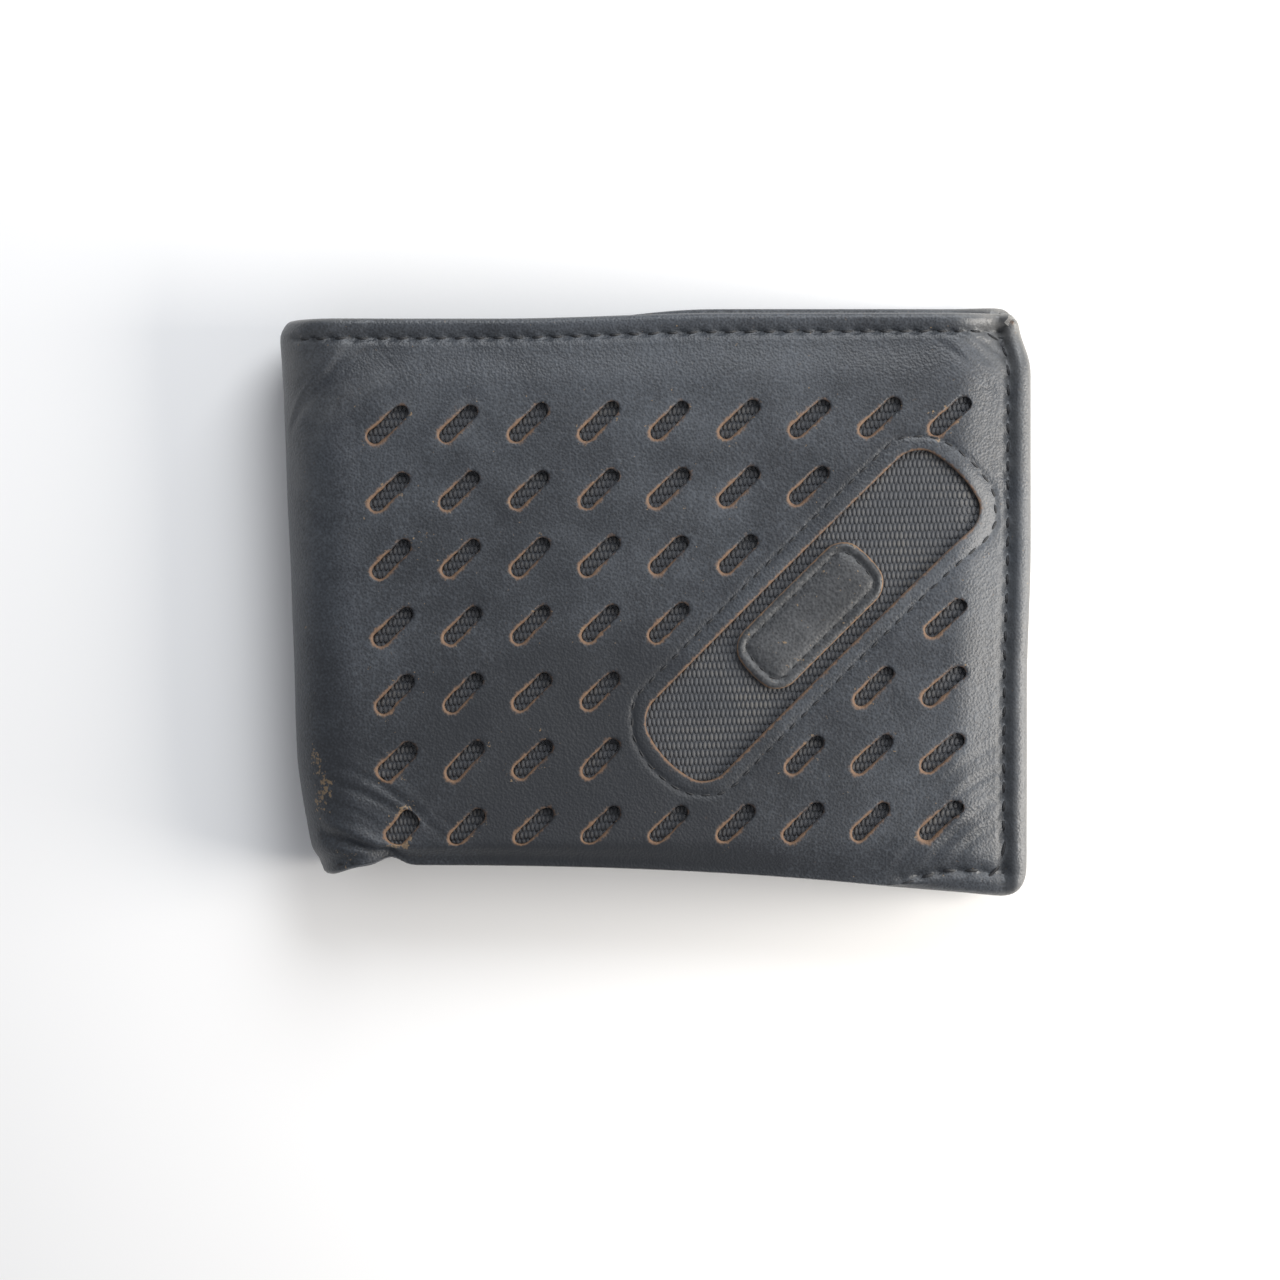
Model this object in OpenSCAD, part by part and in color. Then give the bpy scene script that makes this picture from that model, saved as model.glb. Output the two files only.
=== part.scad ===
// Folding leather wallet: a two-leaf cover with a third leaf inside.
// X runs from the fold (-X) to the free edge (+X), Y up the wallet, Z through the closed stack.
// The back leaf lies on z = 0. Every layer is stacked from its thickness, outside in.

/* [Cover] */
// Width of the closed wallet, from the fold to the free edge
wallet_w = 116; // [97:1:140]
// Height of the closed wallet
wallet_h = 90; // [78:1:108]
// Thickness of the outer leather
leather_t = 1.2; // [0.9:0.05:1.5]
// Thickness of the leather turned in along the free edges
hem_t = 0.8; // [0.6:0.05:1]
// Width of the flat sewn rim
rim_w = 3.6; // [3:0.1:4.5]
// Width of the slope between the rim and the raised middle, at the side and top
slope_w = 3; // [2.5:0.1:5]
// Width of the same slope at the bottom
foot_slope_w = 2.6; // [2:0.1:4]
// Radius of the two free corners
corner_r = 3; // [1.5:0.1:5]

/* [Margins] */
// Distance from the top edge down to the note compartment's inner wall
wall_margin = 4; // [2:0.5:8]
// Distance from the top edge down to the inner leather panels
panel_margin = 9; // [6:0.5:14]
// Distance from the fold line to the inner leather panels
panel_start = 3.5; // [3.4:0.1:8]
// Distance from the free edge to the third leaf
wing_side_margin = 11; // [6:0.5:16]
// Distance from the bottom edge to the third leaf
wing_foot_margin = 5; // [3:0.5:9]
// Distance from the top of the inner panels down to the third leaf
wing_head_margin = 2; // [1:0.5:6]
// Distance from the free rim to the coin pocket
coin_side_margin = 6; // [2:0.5:12]
// Distance from the bottom edge to the coin pocket
coin_foot_margin = 8; // [6:0.5:14]

/* [Perforation] */
// Distance from the fold edge to the first slot column
field_start = 16; // [13:0.5:24]
// Least distance from the free edge to the last slot column
field_end = 12; // [10:0.5:20]
// Distance from the top edge to the first slot row
field_head = 16.6; // [12:0.1:24]
// Least distance from the bottom edge to the last slot row
field_foot = 9.4; // [8:0.1:16]
// Distance between slot columns
slot_pitch_x = 11; // [9:0.25:14]
// Distance between slot rows
slot_pitch_y = 10.65; // [9:0.05:14]
// Length of one slot, end to end
slot_len = 7.8; // [4:0.1:8.2]
// Width of one slot
slot_w = 2.3; // [1.2:0.1:3]
// Slant of the slots
slot_angle = 44; // [20:1:70]

/* [Window and badge] */
// Distance from the free edge to the middle of the window
window_side = 33.5; // [31:0.5:40]
// How far the middle of the window lies below the middle of the wallet
window_below = 2.8; // [0:0.1:8]
// Length of the window between its corners
window_len = 60; // [45:1:66]
// Width of the window
window_w = 16.2; // [14.8:0.1:20]
// Slant of the window
window_angle = 44.5; // [35:0.5:55]
// How far each window end bows out
window_bow = 2; // [0.5:0.1:3]
// Length of the leather badge
badge_len = 26; // [18:1:36]
// Width of the leather badge
badge_w = 11.6; // [9:0.1:13.5]
// Thickness of the leather badge
badge_t = 1.1; // [0.6:0.05:1.2]

/* [Inner layers] */
// Thickness of the woven nylon behind the perforated leather
backing_t = 0.7; // [0.4:0.05:0.9]
// Thickness of the stiffening board in each leaf
board_t = 0.6; // [0.4:0.05:0.9]
// Thickness of the nylon lining
lining_t = 0.3; // [0.2:0.05:0.5]
// Free depth of the note compartment
note_gap = 1.5; // [1.2:0.05:3]
// Thickness of the inner wall of the note compartment
wall_t = 0.6; // [0.4:0.05:0.9]
// Thickness of the inner leather panels
panel_t = 0.6; // [0.4:0.05:0.9]
// Thickness of one card pocket layer
pocket_t = 0.55; // [0.4:0.05:0.8]
// Number of card pockets on the front leaf
card_pockets = 3; // [1:1:3]
// Distance between card pocket edges
card_step = 12; // [8:0.5:13]

/* [Coin pocket] */
// Free depth of the coin pocket
coin_gap = 1.2; // [0.9:0.05:2.5]
// Thickness of the coin pocket's front leather
coin_front_t = 0.8; // [0.6:0.05:1.2]
// Width of the coin pocket
coin_w = 76; // [60:1:78]
// Height of the coin pocket
coin_h = 44; // [36:1:48]
// Length of the flap from its fold to its tip
flap_len = 25; // [20:0.5:27]
// Thickness of the flap's outer leather
flap_t = 0.7; // [0.5:0.05:1]
// Thickness of the flap's lining
flap_lining_t = 0.4; // [0.3:0.05:0.6]

/* [Snap fastener] */
// Radius of the snap cap
cap_r = 5; // [4:0.1:6]
// Height of the snap cap
cap_h = 0.8; // [0.6:0.05:1.2]
// Radius of the stud's head
stud_r = 2; // [1.5:0.05:2.4]
// Radial clearance between the stud and the socket
stud_clearance = 0.25; // [0.2:0.05:0.4]

/* [Third leaf] */
// Thickness of the third leaf's core
core_t = 0.5; // [0.4:0.05:0.8]
// Thickness of the clear window sheet
vinyl_t = 0.2; // [0.15:0.05:0.4]
// Width of the leather frame round the clear window
frame_w = 9; // [6:0.5:14]

/* [Stitching] */
// Distance between stitches
stitch_pitch = 3; // [2.4:0.1:4]
// Length of thread that shows in one stitch
stitch_len = 2.3; // [1.5:0.1:2.3]
// Radius of the thread
thread_r = 0.3; // [0.2:0.02:0.35]
// Distance of the edge seam from the edge
seam_in = 3.1; // [2.6:0.1:3.3]

/* [Hidden] */
$fn = 48;

// Clearances
leaf_clearance = 0.25;     // between two leaves that move
layer_clearance = 0.05;    // between the snap's flange and the flap
fold_clearance = 1.5;      // degrees, between the spine and each cover
side_clearance = 0.3;      // round the plates inside a cover
thread_sink = 0.8 * thread_r;

// The layers of both leaves, from the outside in
backing_z = leather_t;
board_z = backing_z + backing_t;
lining_z = board_z + board_t;
wall_z = lining_z + lining_t + note_gap;
base_z = wall_z + wall_t;
inner_z = base_z + panel_t;
drop = wall_z - hem_t - leather_t;
top_drop = drop * 0.35;

// The coin pocket and its snap, on the back leaf
coin_front_z = inner_z + coin_gap;
flange_h = 0.5;
stud_h = 1.6;
flange_z = coin_front_z + coin_front_t;
flap_lining_z = flange_z + flange_h + layer_clearance;
flap_z = flap_lining_z + flap_lining_t;
cap_z = flap_z + flap_t;

// The third leaf
wing_z = cap_z + cap_h + leaf_clearance;
vinyl_z = wing_z + panel_t;
core_z = vinyl_z + vinyl_t;
wing_pocket_z = core_z + core_t;
wing_top = wing_pocket_z + 2 * pocket_t;

// The closed stack and its fold
closed_t = wing_top + leaf_clearance + card_pockets * pocket_t + inner_z;
fold_r = closed_t / 2;
fold_x = -wallet_w / 2 + fold_r;
fold_mid_r = fold_r - leather_t / 2;

// Plan of the raised middle of a leaf
side_x = wallet_w / 2 - rim_w - slope_w;
top_y = wallet_h / 2 - rim_w - slope_w;
foot_y = -wallet_h / 2 + rim_w + foot_slope_w;

// Plan of the inner panels
wall_top = wallet_h / 2 - wall_margin;
panel_top = wallet_h / 2 - panel_margin;
panel_x = fold_x + panel_start;
free_x = wallet_w / 2;

// Perforation field
field_left = -wallet_w / 2 + field_start;
field_right = wallet_w / 2 - field_end;
field_top = wallet_h / 2 - field_head;
field_bottom = -wallet_h / 2 + field_foot;
slot_columns = floor((field_right - field_left) / slot_pitch_x + 0.01) + 1;
slot_rows = floor((field_top - field_bottom) / slot_pitch_y + 0.01) + 1;
window_at = [wallet_w / 2 - window_side, -window_below];
window_corner_r = 3;
badge_corner_r = 3;
seam_gap = 2.6; // from the window's edge to the seam round it
// Slots whose middle is nearer the window than this are left out
keep_out = [window_len / 2 + window_bow + 2, window_w / 2 + seam_gap];

// Coin pocket, flap and third leaf
coin_x = free_x - rim_w - coin_side_margin - coin_w;
coin_y = -wallet_h / 2 + coin_foot_margin;
coin_top = coin_y + coin_h;
flap_fold_y = coin_top + 2;
flap_inset = 6;            // from the coin pocket's sides to the flap's
flap_tip_r = 7;
flap_w = coin_w - 2 * flap_inset;
flap_x = coin_x + flap_inset;
snap_at = [flap_x + flap_w / 2, flap_fold_y - flap_len + cap_r + 2.5];
socket_r = cap_r - 0.5;
post_r = 1.2;
web_t = 0.7;               // the upright strip that carries the third leaf
hinge_r = core_t / 2;
wing_web_x = fold_x + 0.05;
wing_hinge_x = wing_web_x + web_t + hinge_r / 5;
wing_left = fold_x + 4;
wing_right = free_x - wing_side_margin;
wing_foot = -wallet_h / 2 + wing_foot_margin;
wing_head = panel_top - wing_head_margin;
vinyl_lap = 2.5;           // of the clear sheet under its frame

// A flat plate between two corners of its plan
module plate(x0, y0, x1, y1, z, t, r = 1) {
    translate([0, 0, z])
        linear_extrude(t)
            rounded(x0, y0, x1, y1, r);
}

// A rectangle with four round corners, without offset(), so the corners stay true arcs
module rounded(x0, y0, x1, y1, r) {
    translate([x0 + r, y0]) square([x1 - x0 - 2 * r, y1 - y0]);
    translate([x0, y0 + r]) square([x1 - x0, y1 - y0 - 2 * r]);
    for (x = [x0 + r, x1 - r], y = [y0 + r, y1 - r])
        translate([x, y]) circle(r);
}

// A section drawn in X and Z, carried along Y
module along_y(length) {
    rotate([90, 0, 0])
        linear_extrude(length, center = true)
            children();
}

// A section drawn in Y and Z, carried along X from x0
module along_x(x0, length) {
    translate([x0, 0, 0])
        rotate([90, 0, 90])
            linear_extrude(length)
                children();
}

// Puts a piece that was built as a back-leaf piece on the front leaf
module on_front() {
    translate([0, 0, closed_t])
        mirror([0, 0, 1])
            children();
}

// A stretch of the fold between two angles, seen along Y
module fold_arc(outer_r, t, from, to, height = wallet_h) {
    reach = 2 * outer_r;
    translate([fold_x, 0, fold_r])
        along_y(height)
            intersection() {
                difference() {
                    circle(outer_r);
                    circle(outer_r - t);
                }
                polygon([
                    [0, 0],
                    reach * [cos(from), sin(from)],
                    reach * [cos(to), sin(to)]
                ]);
            }
}

// Everything inside the skin of a leaf, offset inward by one thickness
module leaf_inside(inset) {
    height = drop + leather_t + 1;
    intersection() {
        along_y(wallet_h + 2)
            polygon([
                [fold_x - 1, inset], [side_x, inset], [side_x + slope_w, drop + inset],
                [free_x + 1, drop + inset], [free_x + 1, height], [fold_x - 1, height]
            ]);
        along_x(fold_x - 2, wallet_w + 4)
            polygon([
                [-wallet_h / 2 - 1, drop + inset], [foot_y - foot_slope_w, drop + inset],
                [foot_y, inset], [top_y, inset], [top_y + slope_w, top_drop + inset],
                [wallet_h / 2 + 1, top_drop + inset], [wallet_h / 2 + 1, height],
                [-wallet_h / 2 - 1, height]
            ]);
    }
}

// Plan of a leaf: square at the fold, round at the free corners
module leaf_plan() {
    translate([fold_x, -wallet_h / 2])
        square([wallet_w / 2 - fold_x - corner_r, wallet_h]);
    translate([fold_x, -wallet_h / 2 + corner_r])
        square([wallet_w / 2 - fold_x, wallet_h - 2 * corner_r]);
    for (y = [-1, 1])
        translate([wallet_w / 2 - corner_r, y * (wallet_h / 2 - corner_r)])
            circle(corner_r);
}

// The outer leather of one leaf, with its turned rim and its share of the fold
module cover_leaf() {
    intersection() {
        difference() {
            leaf_inside(0);
            leaf_inside(leather_t);
        }
        translate([0, 0, -1])
            linear_extrude(drop + leather_t + 3)
                leaf_plan();
    }
    translate([0, 0, drop + leather_t])
        linear_extrude(hem_t)
            difference() {
                leaf_plan();
                translate([fold_x - 1, foot_y - foot_slope_w])
                    square([wallet_w / 2 - rim_w - fold_x + 1, wallet_h]);
            }
    fold_arc(fold_r, leather_t, 225, 271);
}

// One slot of the perforation
module slot() {
    rotate(slot_angle) {
        square([slot_len - slot_w, slot_w], center = true);
        for (side = [-1, 1])
            translate([side * (slot_len - slot_w) / 2, 0])
                circle(slot_w / 2);
    }
}

// Position of a point in the window's own axes
function in_window(p) = [
    (p[0] - window_at[0]) * cos(window_angle) + (p[1] - window_at[1]) * sin(window_angle),
    (p[1] - window_at[1]) * cos(window_angle) - (p[0] - window_at[0]) * sin(window_angle)
];
function beside_window(p) = abs(in_window(p)[0]) > keep_out[0]
    || abs(in_window(p)[1]) > keep_out[1];

// A slanting patch with round corners and ends that bow out
module bowed_patch(length, width, bow, r) {
    end_r = (width * width / 4 + bow * bow) / (2 * bow);
    intersection() {
        rounded(-length / 2 - bow, -width / 2, length / 2 + bow, width / 2, r);
        union() {
            square([length, width], center = true);
            for (side = [-1, 1])
                translate([side * (length / 2 + bow - end_r), 0])
                    circle(end_r, $fn = 160);
        }
    }
}

module at_window() {
    translate(concat(window_at, 0))
        rotate(window_angle)
            children();
}

// A run of stitches along X from x0 to x1
module stitch_row(x0, x1) {
    count = floor((x1 - x0) / stitch_pitch);
    start = (x0 + x1 - count * stitch_pitch) / 2;
    for (i = [0:count - 1])
        translate([start + (i + 0.5) * stitch_pitch - stitch_len / 2, 0, 0])
            rotate([0, 90, 0])
                cylinder(h = stitch_len, r = thread_r, $fn = 16);
}

// A run of stitches along Y at x, on a surface at z
module stitch_column(x, y0, y1, z) {
    translate([x, 0, z])
        rotate(90)
            stitch_row(y0, y1);
}

// Four runs of stitches round a rectangle
module stitch_frame(x0, y0, x1, y1, z) {
    inset = stitch_pitch / 2;
    for (y = [y0, y1])
        translate([0, y, z]) stitch_row(x0 + inset, x1 - inset);
    for (x = [x0, x1])
        stitch_column(x, y0 + inset, y1 - inset, z);
}

// The seam that closes the free edges of a leaf
module edge_seam() {
    x = free_x - seam_in;
    y = wallet_h / 2 - seam_in;
    clear_of_corner = corner_r;
    translate([0, -y, drop + thread_sink]) stitch_row(fold_x, x - clear_of_corner);
    translate([0, y, top_drop + thread_sink]) stitch_row(fold_x, side_x - clear_of_corner);
    stitch_column(x, clear_of_corner - y, y - clear_of_corner, drop + thread_sink);
}

// Back leaf
module back_cover() {
    color([0.16, 0.18, 0.21]) cover_leaf();
}

module leaf_board(z, t) {
    gap = side_clearance;
    plate(fold_x + gap, foot_y + gap, side_x - gap, top_y - gap, z, t);
}

module back_board() {
    color([0.45, 0.42, 0.36]) leaf_board(leather_t, backing_t + board_t);
}

module back_lining() {
    color([0.1, 0.1, 0.11]) leaf_board(lining_z, lining_t);
}

module note_wall() {
    plate(fold_x, -wallet_h / 2 + corner_r / 2, free_x - corner_r / 2, wall_top, wall_z, wall_t);
    fold_arc(fold_r - wall_z, wall_t, 225, 271, wallet_h - 12);
}

module back_wall() {
    color([0.1, 0.1, 0.11]) note_wall();
}

module inner_panel(left = panel_x) {
    plate(left, -wallet_h / 2 + corner_r / 2, free_x - corner_r / 2, panel_top, base_z, panel_t);
}

module coin_base() {
    color([0.14, 0.15, 0.17]) inner_panel();
}

// The folded strip round three sides of the coin pocket
module coin_gusset() {
    strip = 2.4;
    color([0.1, 0.1, 0.11])
        translate([0, 0, inner_z])
            linear_extrude(coin_gap)
                difference() {
                    translate([coin_x, coin_y]) square([coin_w, coin_h]);
                    translate([coin_x + strip, coin_y + strip])
                        square([coin_w - 2 * strip, coin_h]);
                }
}

module snap_hole(r) {
    translate([snap_at[0], snap_at[1], 0])
        cylinder(h = closed_t, r = r);
}

module coin_front() {
    color([0.14, 0.15, 0.17])
        difference() {
            plate(coin_x, coin_y, coin_x + coin_w, coin_top, coin_front_z, coin_front_t);
            snap_hole(post_r);
        }
}

module flap_root() {
    root_w = 9;
    color([0.14, 0.15, 0.17])
        plate(flap_x, flap_fold_y + 2, flap_x + flap_w, flap_fold_y + root_w, inner_z, flap_t);
}

// Stud: a flange on the pocket's leather and the head that the socket grips
module snap_stud() {
    color([0.55, 0.54, 0.5])
        translate([snap_at[0], snap_at[1], flange_z]) {
            cylinder(h = flange_h, r = cap_r - 1);
            cylinder(h = stud_h, r = stud_r);
        }
}

// Post: a disc inside the pocket whose shank goes up through the leather
module snap_post() {
    disc_h = 0.4;
    color([0.55, 0.54, 0.5])
        translate([snap_at[0], snap_at[1], coin_front_z - disc_h]) {
            cylinder(h = disc_h, r = cap_r - 0.8);
            cylinder(h = disc_h + coin_front_t, r = post_r);
        }
}

// The foot of the third leaf's hinge, sewn to the inner wall
module wing_anchor() {
    foot_w = panel_start - side_clearance;
    end_r = 0.3;
    color([0.14, 0.15, 0.17]) {
        plate(wing_web_x, wing_foot + 2, fold_x + foot_w, wing_head - 2, base_z, panel_t, end_r);
        plate(wing_web_x, wing_foot + 2, wing_web_x + web_t, wing_head - 2, base_z,
              core_z - leaf_clearance - base_z, end_r);
    }
}

module back_stitches() {
    color([0.05, 0.05, 0.06]) edge_seam();
}

module coin_stitches() {
    inset = 1.2;
    z = coin_front_z + coin_front_t - thread_sink;
    color([0.05, 0.05, 0.06]) {
        translate([0, coin_y + inset, z]) stitch_row(coin_x + 3, coin_x + coin_w - 3);
        for (x = [coin_x + inset, coin_x + coin_w - inset])
            stitch_column(x, coin_y + 3, coin_top - 2, z);
    }
}

// Spine
module spine_cover() {
    color([0.16, 0.18, 0.21])
        fold_arc(fold_r, leather_t, 135 + fold_clearance, 225 - fold_clearance);
}

module spine_lining() {
    color([0.1, 0.1, 0.11])
        fold_arc(fold_r - leather_t, lining_t, 135 + fold_clearance, 225 - fold_clearance,
                 wallet_h - 6);
}

module spine_wall() {
    color([0.1, 0.1, 0.11])
        fold_arc(fold_r - wall_z, wall_t, 135 + 2 * fold_clearance, 225 - 2 * fold_clearance,
                 wallet_h - 12);
}

// Front leaf
module front_cover() {
    color([0.16, 0.18, 0.21])
        on_front()
            difference() {
                cover_leaf();
                translate([0, 0, -1])
                    linear_extrude(leather_t + 2) {
                        for (i = [0:slot_columns - 1], j = [0:slot_rows - 1]) {
                            at = [field_left + i * slot_pitch_x, field_top - j * slot_pitch_y];
                            if (beside_window(at)) translate(at) slot();
                        }
                        at_window()
                            bowed_patch(window_len, window_w, window_bow, window_corner_r);
                    }
            }
}

module woven_backing() {
    color([0.07, 0.07, 0.08]) on_front() leaf_board(backing_z, backing_t);
}

module front_board() {
    color([0.45, 0.42, 0.36]) on_front() leaf_board(board_z, board_t);
}

module front_lining() {
    color([0.1, 0.1, 0.11]) on_front() leaf_board(lining_z, lining_t);
}

module front_wall() {
    color([0.1, 0.1, 0.11]) on_front() note_wall();
}

module card_base() {
    color([0.14, 0.15, 0.17]) on_front() inner_panel();
}

// Pocket 1 lies deepest and stands highest
module card_pocket(k) {
    if (k <= card_pockets)
        color([0.14, 0.15, 0.17])
            on_front()
                plate(panel_x, -wallet_h / 2 + corner_r / 2, free_x - corner_r / 2,
                      panel_top - k * card_step, inner_z + (k - 1) * pocket_t, pocket_t);
}

// Two upright seams close the sides of the card pockets
module card_stitches() {
    z = inner_z + card_pockets * pocket_t - thread_sink;
    color([0.05, 0.05, 0.06])
        on_front()
            for (x = [panel_x + 2, free_x - seam_in])
                stitch_column(x, -wallet_h / 2 + 5, panel_top - card_pockets * card_step - 1, z);
}

module badge() {
    color([0.2, 0.22, 0.25])
        on_front()
            translate([0, 0, backing_z - badge_t])
                linear_extrude(badge_t)
                    at_window()
                        bowed_patch(badge_len - 2, badge_w, 1, badge_corner_r);
}

module badge_stitches() {
    inset = 1.7;
    color([0.05, 0.05, 0.06])
        on_front()
            at_window()
                stitch_frame(-badge_len / 2 + inset, -badge_w / 2 + inset,
                             badge_len / 2 - inset, badge_w / 2 - inset,
                             backing_z - badge_t + thread_sink);
}

// The seam round the window stops where the leather slopes down to the rim
module window_stitches() {
    reach = [window_len / 2 + seam_gap, window_w / 2 + seam_gap];
    color([0.05, 0.05, 0.06])
        on_front()
            intersection() {
                at_window()
                    stitch_frame(-reach[0], -reach[1], reach[0], reach[1], thread_sink);
                plate(fold_x, foot_y, side_x, top_y, -leather_t, 2 * leather_t);
            }
}

module front_stitches() {
    color([0.05, 0.05, 0.06]) on_front() edge_seam();
}

// Third leaf
module wing_plan(z, t, head = wing_head) {
    plate(wing_left, wing_foot, wing_right, head, z, t, 2);
}

module wing_core() {
    color([0.14, 0.15, 0.17]) wing_plan(core_z, core_t);
}

// The opening of the leather frame, grown by a lap
module sight(lap, z, t) {
    in = frame_w - lap;
    plate(wing_left + in, wing_foot + in, wing_right - in, wing_head - in, z, t);
}

module wing_window() {
    color([0.75, 0.78, 0.8, 0.4]) sight(vinyl_lap, vinyl_z, vinyl_t);
}

module wing_frame() {
    gap = 0.1;
    color([0.14, 0.15, 0.17])
        difference() {
            wing_plan(wing_z, panel_t + vinyl_t);
            sight(0, wing_z - 1, closed_t);
            sight(vinyl_lap + gap, vinyl_z, closed_t);
        }
}

module wing_pocket(k) {
    color([0.14, 0.15, 0.17])
        wing_plan(wing_pocket_z + (k - 1) * pocket_t, pocket_t, wing_head - k * card_step);
}

// The strip that joins the third leaf to its anchor
module wing_tab() {
    tab_foot = wing_foot + 2;
    tab_head = wing_head - 2;
    color([0.14, 0.15, 0.17]) {
        plate(wing_hinge_x, tab_foot, wing_left, tab_head, core_z, core_t, hinge_r / 2);
        translate([wing_hinge_x, (tab_foot + tab_head) / 2, core_z + hinge_r])
            along_y(tab_head - tab_foot)
                circle(hinge_r, $fn = 24);
    }
}

module wing_stitches() {
    inset = 1.6;
    color([0.05, 0.05, 0.06])
        stitch_frame(wing_left + inset, wing_foot + inset, wing_right - inset,
                     wing_head - inset, wing_z + thread_sink);
}

// Coin flap
module flap_plan() {
    tip_y = flap_fold_y - flap_len;
    r = flap_tip_r;
    difference() {
        union() {
            translate([flap_x, tip_y + r]) square([flap_w, flap_len - r]);
            translate([flap_x + r, tip_y]) square([flap_w - 2 * r, flap_len]);
            for (x = [flap_x + r, flap_x + flap_w - r])
                translate([x, tip_y + r]) circle(r);
        }
        translate(snap_at) circle(socket_r);
    }
}

module flap_outer() {
    color([0.14, 0.15, 0.17])
        translate([0, 0, flap_z]) linear_extrude(flap_t) flap_plan();
}

module flap_lining() {
    color([0.1, 0.1, 0.11])
        translate([0, 0, flap_lining_z]) linear_extrude(flap_lining_t) flap_plan();
}

module snap_cap() {
    color([0.55, 0.54, 0.5])
        translate([snap_at[0], snap_at[1], cap_z])
            cylinder(h = cap_h, r1 = cap_r, r2 = cap_r - 1);
}

module snap_socket() {
    color([0.55, 0.54, 0.5])
        difference() {
            translate([snap_at[0], snap_at[1], flap_lining_z])
                cylinder(h = cap_z - flap_lining_z, r = socket_r);
            snap_hole(stud_r + stud_clearance);
        }
}

back_cover();
back_board();
back_lining();
back_wall();
coin_base();
coin_gusset();
coin_front();
flap_root();
snap_stud();
snap_post();
wing_anchor();
back_stitches();
coin_stitches();
spine_cover();
spine_lining();
spine_wall();
front_cover();
woven_backing();
front_board();
front_lining();
front_wall();
card_base();
card_pocket(1);  // card_pocket_1
card_pocket(2);  // card_pocket_2
card_pocket(3);  // card_pocket_3
card_stitches();
badge();
badge_stitches();
window_stitches();
front_stitches();
wing_core();
wing_window();
wing_frame();
wing_pocket(1);  // wing_pocket_1
wing_pocket(2);  // wing_pocket_2
wing_tab();
wing_stitches();
flap_outer();
flap_lining();
snap_cap();
snap_socket();
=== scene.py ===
# %% [markdown]
# # A folding leather wallet
# The CAD model gives the exact frame: how big each layer is and where it turns. Here every soft
# layer is made again as leather, nylon or thread would really lie, and one that moves with a single
# CAD body is tied to it. We start by loading that frame and noting its box.

# %% Load the frame
import bmesh
import bpy
import math
import numpy as np
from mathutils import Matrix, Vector, geometry, kdtree


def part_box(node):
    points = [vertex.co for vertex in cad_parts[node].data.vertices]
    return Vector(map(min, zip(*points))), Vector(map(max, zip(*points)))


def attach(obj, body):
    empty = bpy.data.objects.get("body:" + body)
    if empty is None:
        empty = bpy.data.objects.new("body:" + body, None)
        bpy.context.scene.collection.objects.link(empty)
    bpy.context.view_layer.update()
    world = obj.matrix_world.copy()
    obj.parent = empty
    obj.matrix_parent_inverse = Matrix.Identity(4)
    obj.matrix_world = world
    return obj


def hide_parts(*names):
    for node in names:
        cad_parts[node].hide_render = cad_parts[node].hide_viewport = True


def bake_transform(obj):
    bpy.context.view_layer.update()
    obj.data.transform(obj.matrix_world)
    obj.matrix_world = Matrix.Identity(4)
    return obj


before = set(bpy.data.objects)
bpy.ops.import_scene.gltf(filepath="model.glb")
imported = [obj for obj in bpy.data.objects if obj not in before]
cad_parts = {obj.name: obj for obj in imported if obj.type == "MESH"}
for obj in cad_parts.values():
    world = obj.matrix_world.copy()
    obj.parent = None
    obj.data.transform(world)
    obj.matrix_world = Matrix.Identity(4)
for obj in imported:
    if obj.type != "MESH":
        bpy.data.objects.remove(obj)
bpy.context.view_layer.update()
MM = 0.001

# %% [markdown]
# ## Sizes
# We work in millimetres and turn to metres only when a mesh is written. The sizes come from the
# CAD nodes, so a layer made here always lies where its solid does. The closed wallet is one stack:
# its fold is half a cylinder as thick as the stack.

# %% Sizes read from the CAD nodes
def node_box(node):
    low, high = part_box(node)
    return np.array(low) / MM, np.array(high) / MM


cover_high = node_box("front_cover")[1]
STACK = cover_high[2] - node_box("back_cover")[0][2]
FOLD_R = STACK / 2
HALF_W = cover_high[0]
HALF_H = cover_high[1]
FOLD_X = -HALF_W + FOLD_R
LEATHER = STACK - node_box("woven_backing")[1][2]
HEM = 0.8
HEM_W = 3.4
SPINE_U = FOLD_X - FOLD_R * math.pi / 2
SEAM_U = HALF_W - 3.4
SEAM_V = HALF_H - 3.0
print("stack", round(STACK, 2), "fold at x", round(FOLD_X, 2), "leather", round(LEATHER, 2))

# %% [markdown]
# ## Camera and light
# The wallet is looked at from straight above. A long lens from 0.8 m away keeps the sides from
# showing. One lamp stands low and near on the right: it makes the slope to the free edge shine, lights
# the left wall of each cut-out and fades towards the fold. A wide one behind it is like a window.

# %% Camera, floor and lights
scene = bpy.context.scene
FRAME_W = 202.2 * MM
AIM = Vector((-2.6 * MM, -6.3 * MM, 0))
DISTANCE = 0.8

camera_data = bpy.data.cameras.new("overhead_camera")
camera_data.sensor_width = 36
camera_data.lens = 36 * (DISTANCE - STACK * MM) / FRAME_W
camera = bpy.data.objects.new("overhead_camera", camera_data)
camera.location = AIM + Vector((0, 0, DISTANCE))
scene.collection.objects.link(camera)
scene.camera = camera


def area_lamp(name, place, size, watts, colour):
    data = bpy.data.lights.new(name, "AREA")
    data.shape = "SQUARE"
    data.size = size
    data.energy = watts
    data.color = colour
    lamp = bpy.data.objects.new(name, data)
    lamp.location = place
    lamp.rotation_euler = (-Vector(place)).to_track_quat("-Z", "Y").to_euler()
    scene.collection.objects.link(lamp)


area_lamp("side_light", (0.31, -0.045, 0.16), 0.20, 1.85, (1, 0.95, 0.88))
area_lamp("window_light", (0.13, 0.36, 0.34), 0.30, 2.2, (0.96, 0.98, 1))

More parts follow.
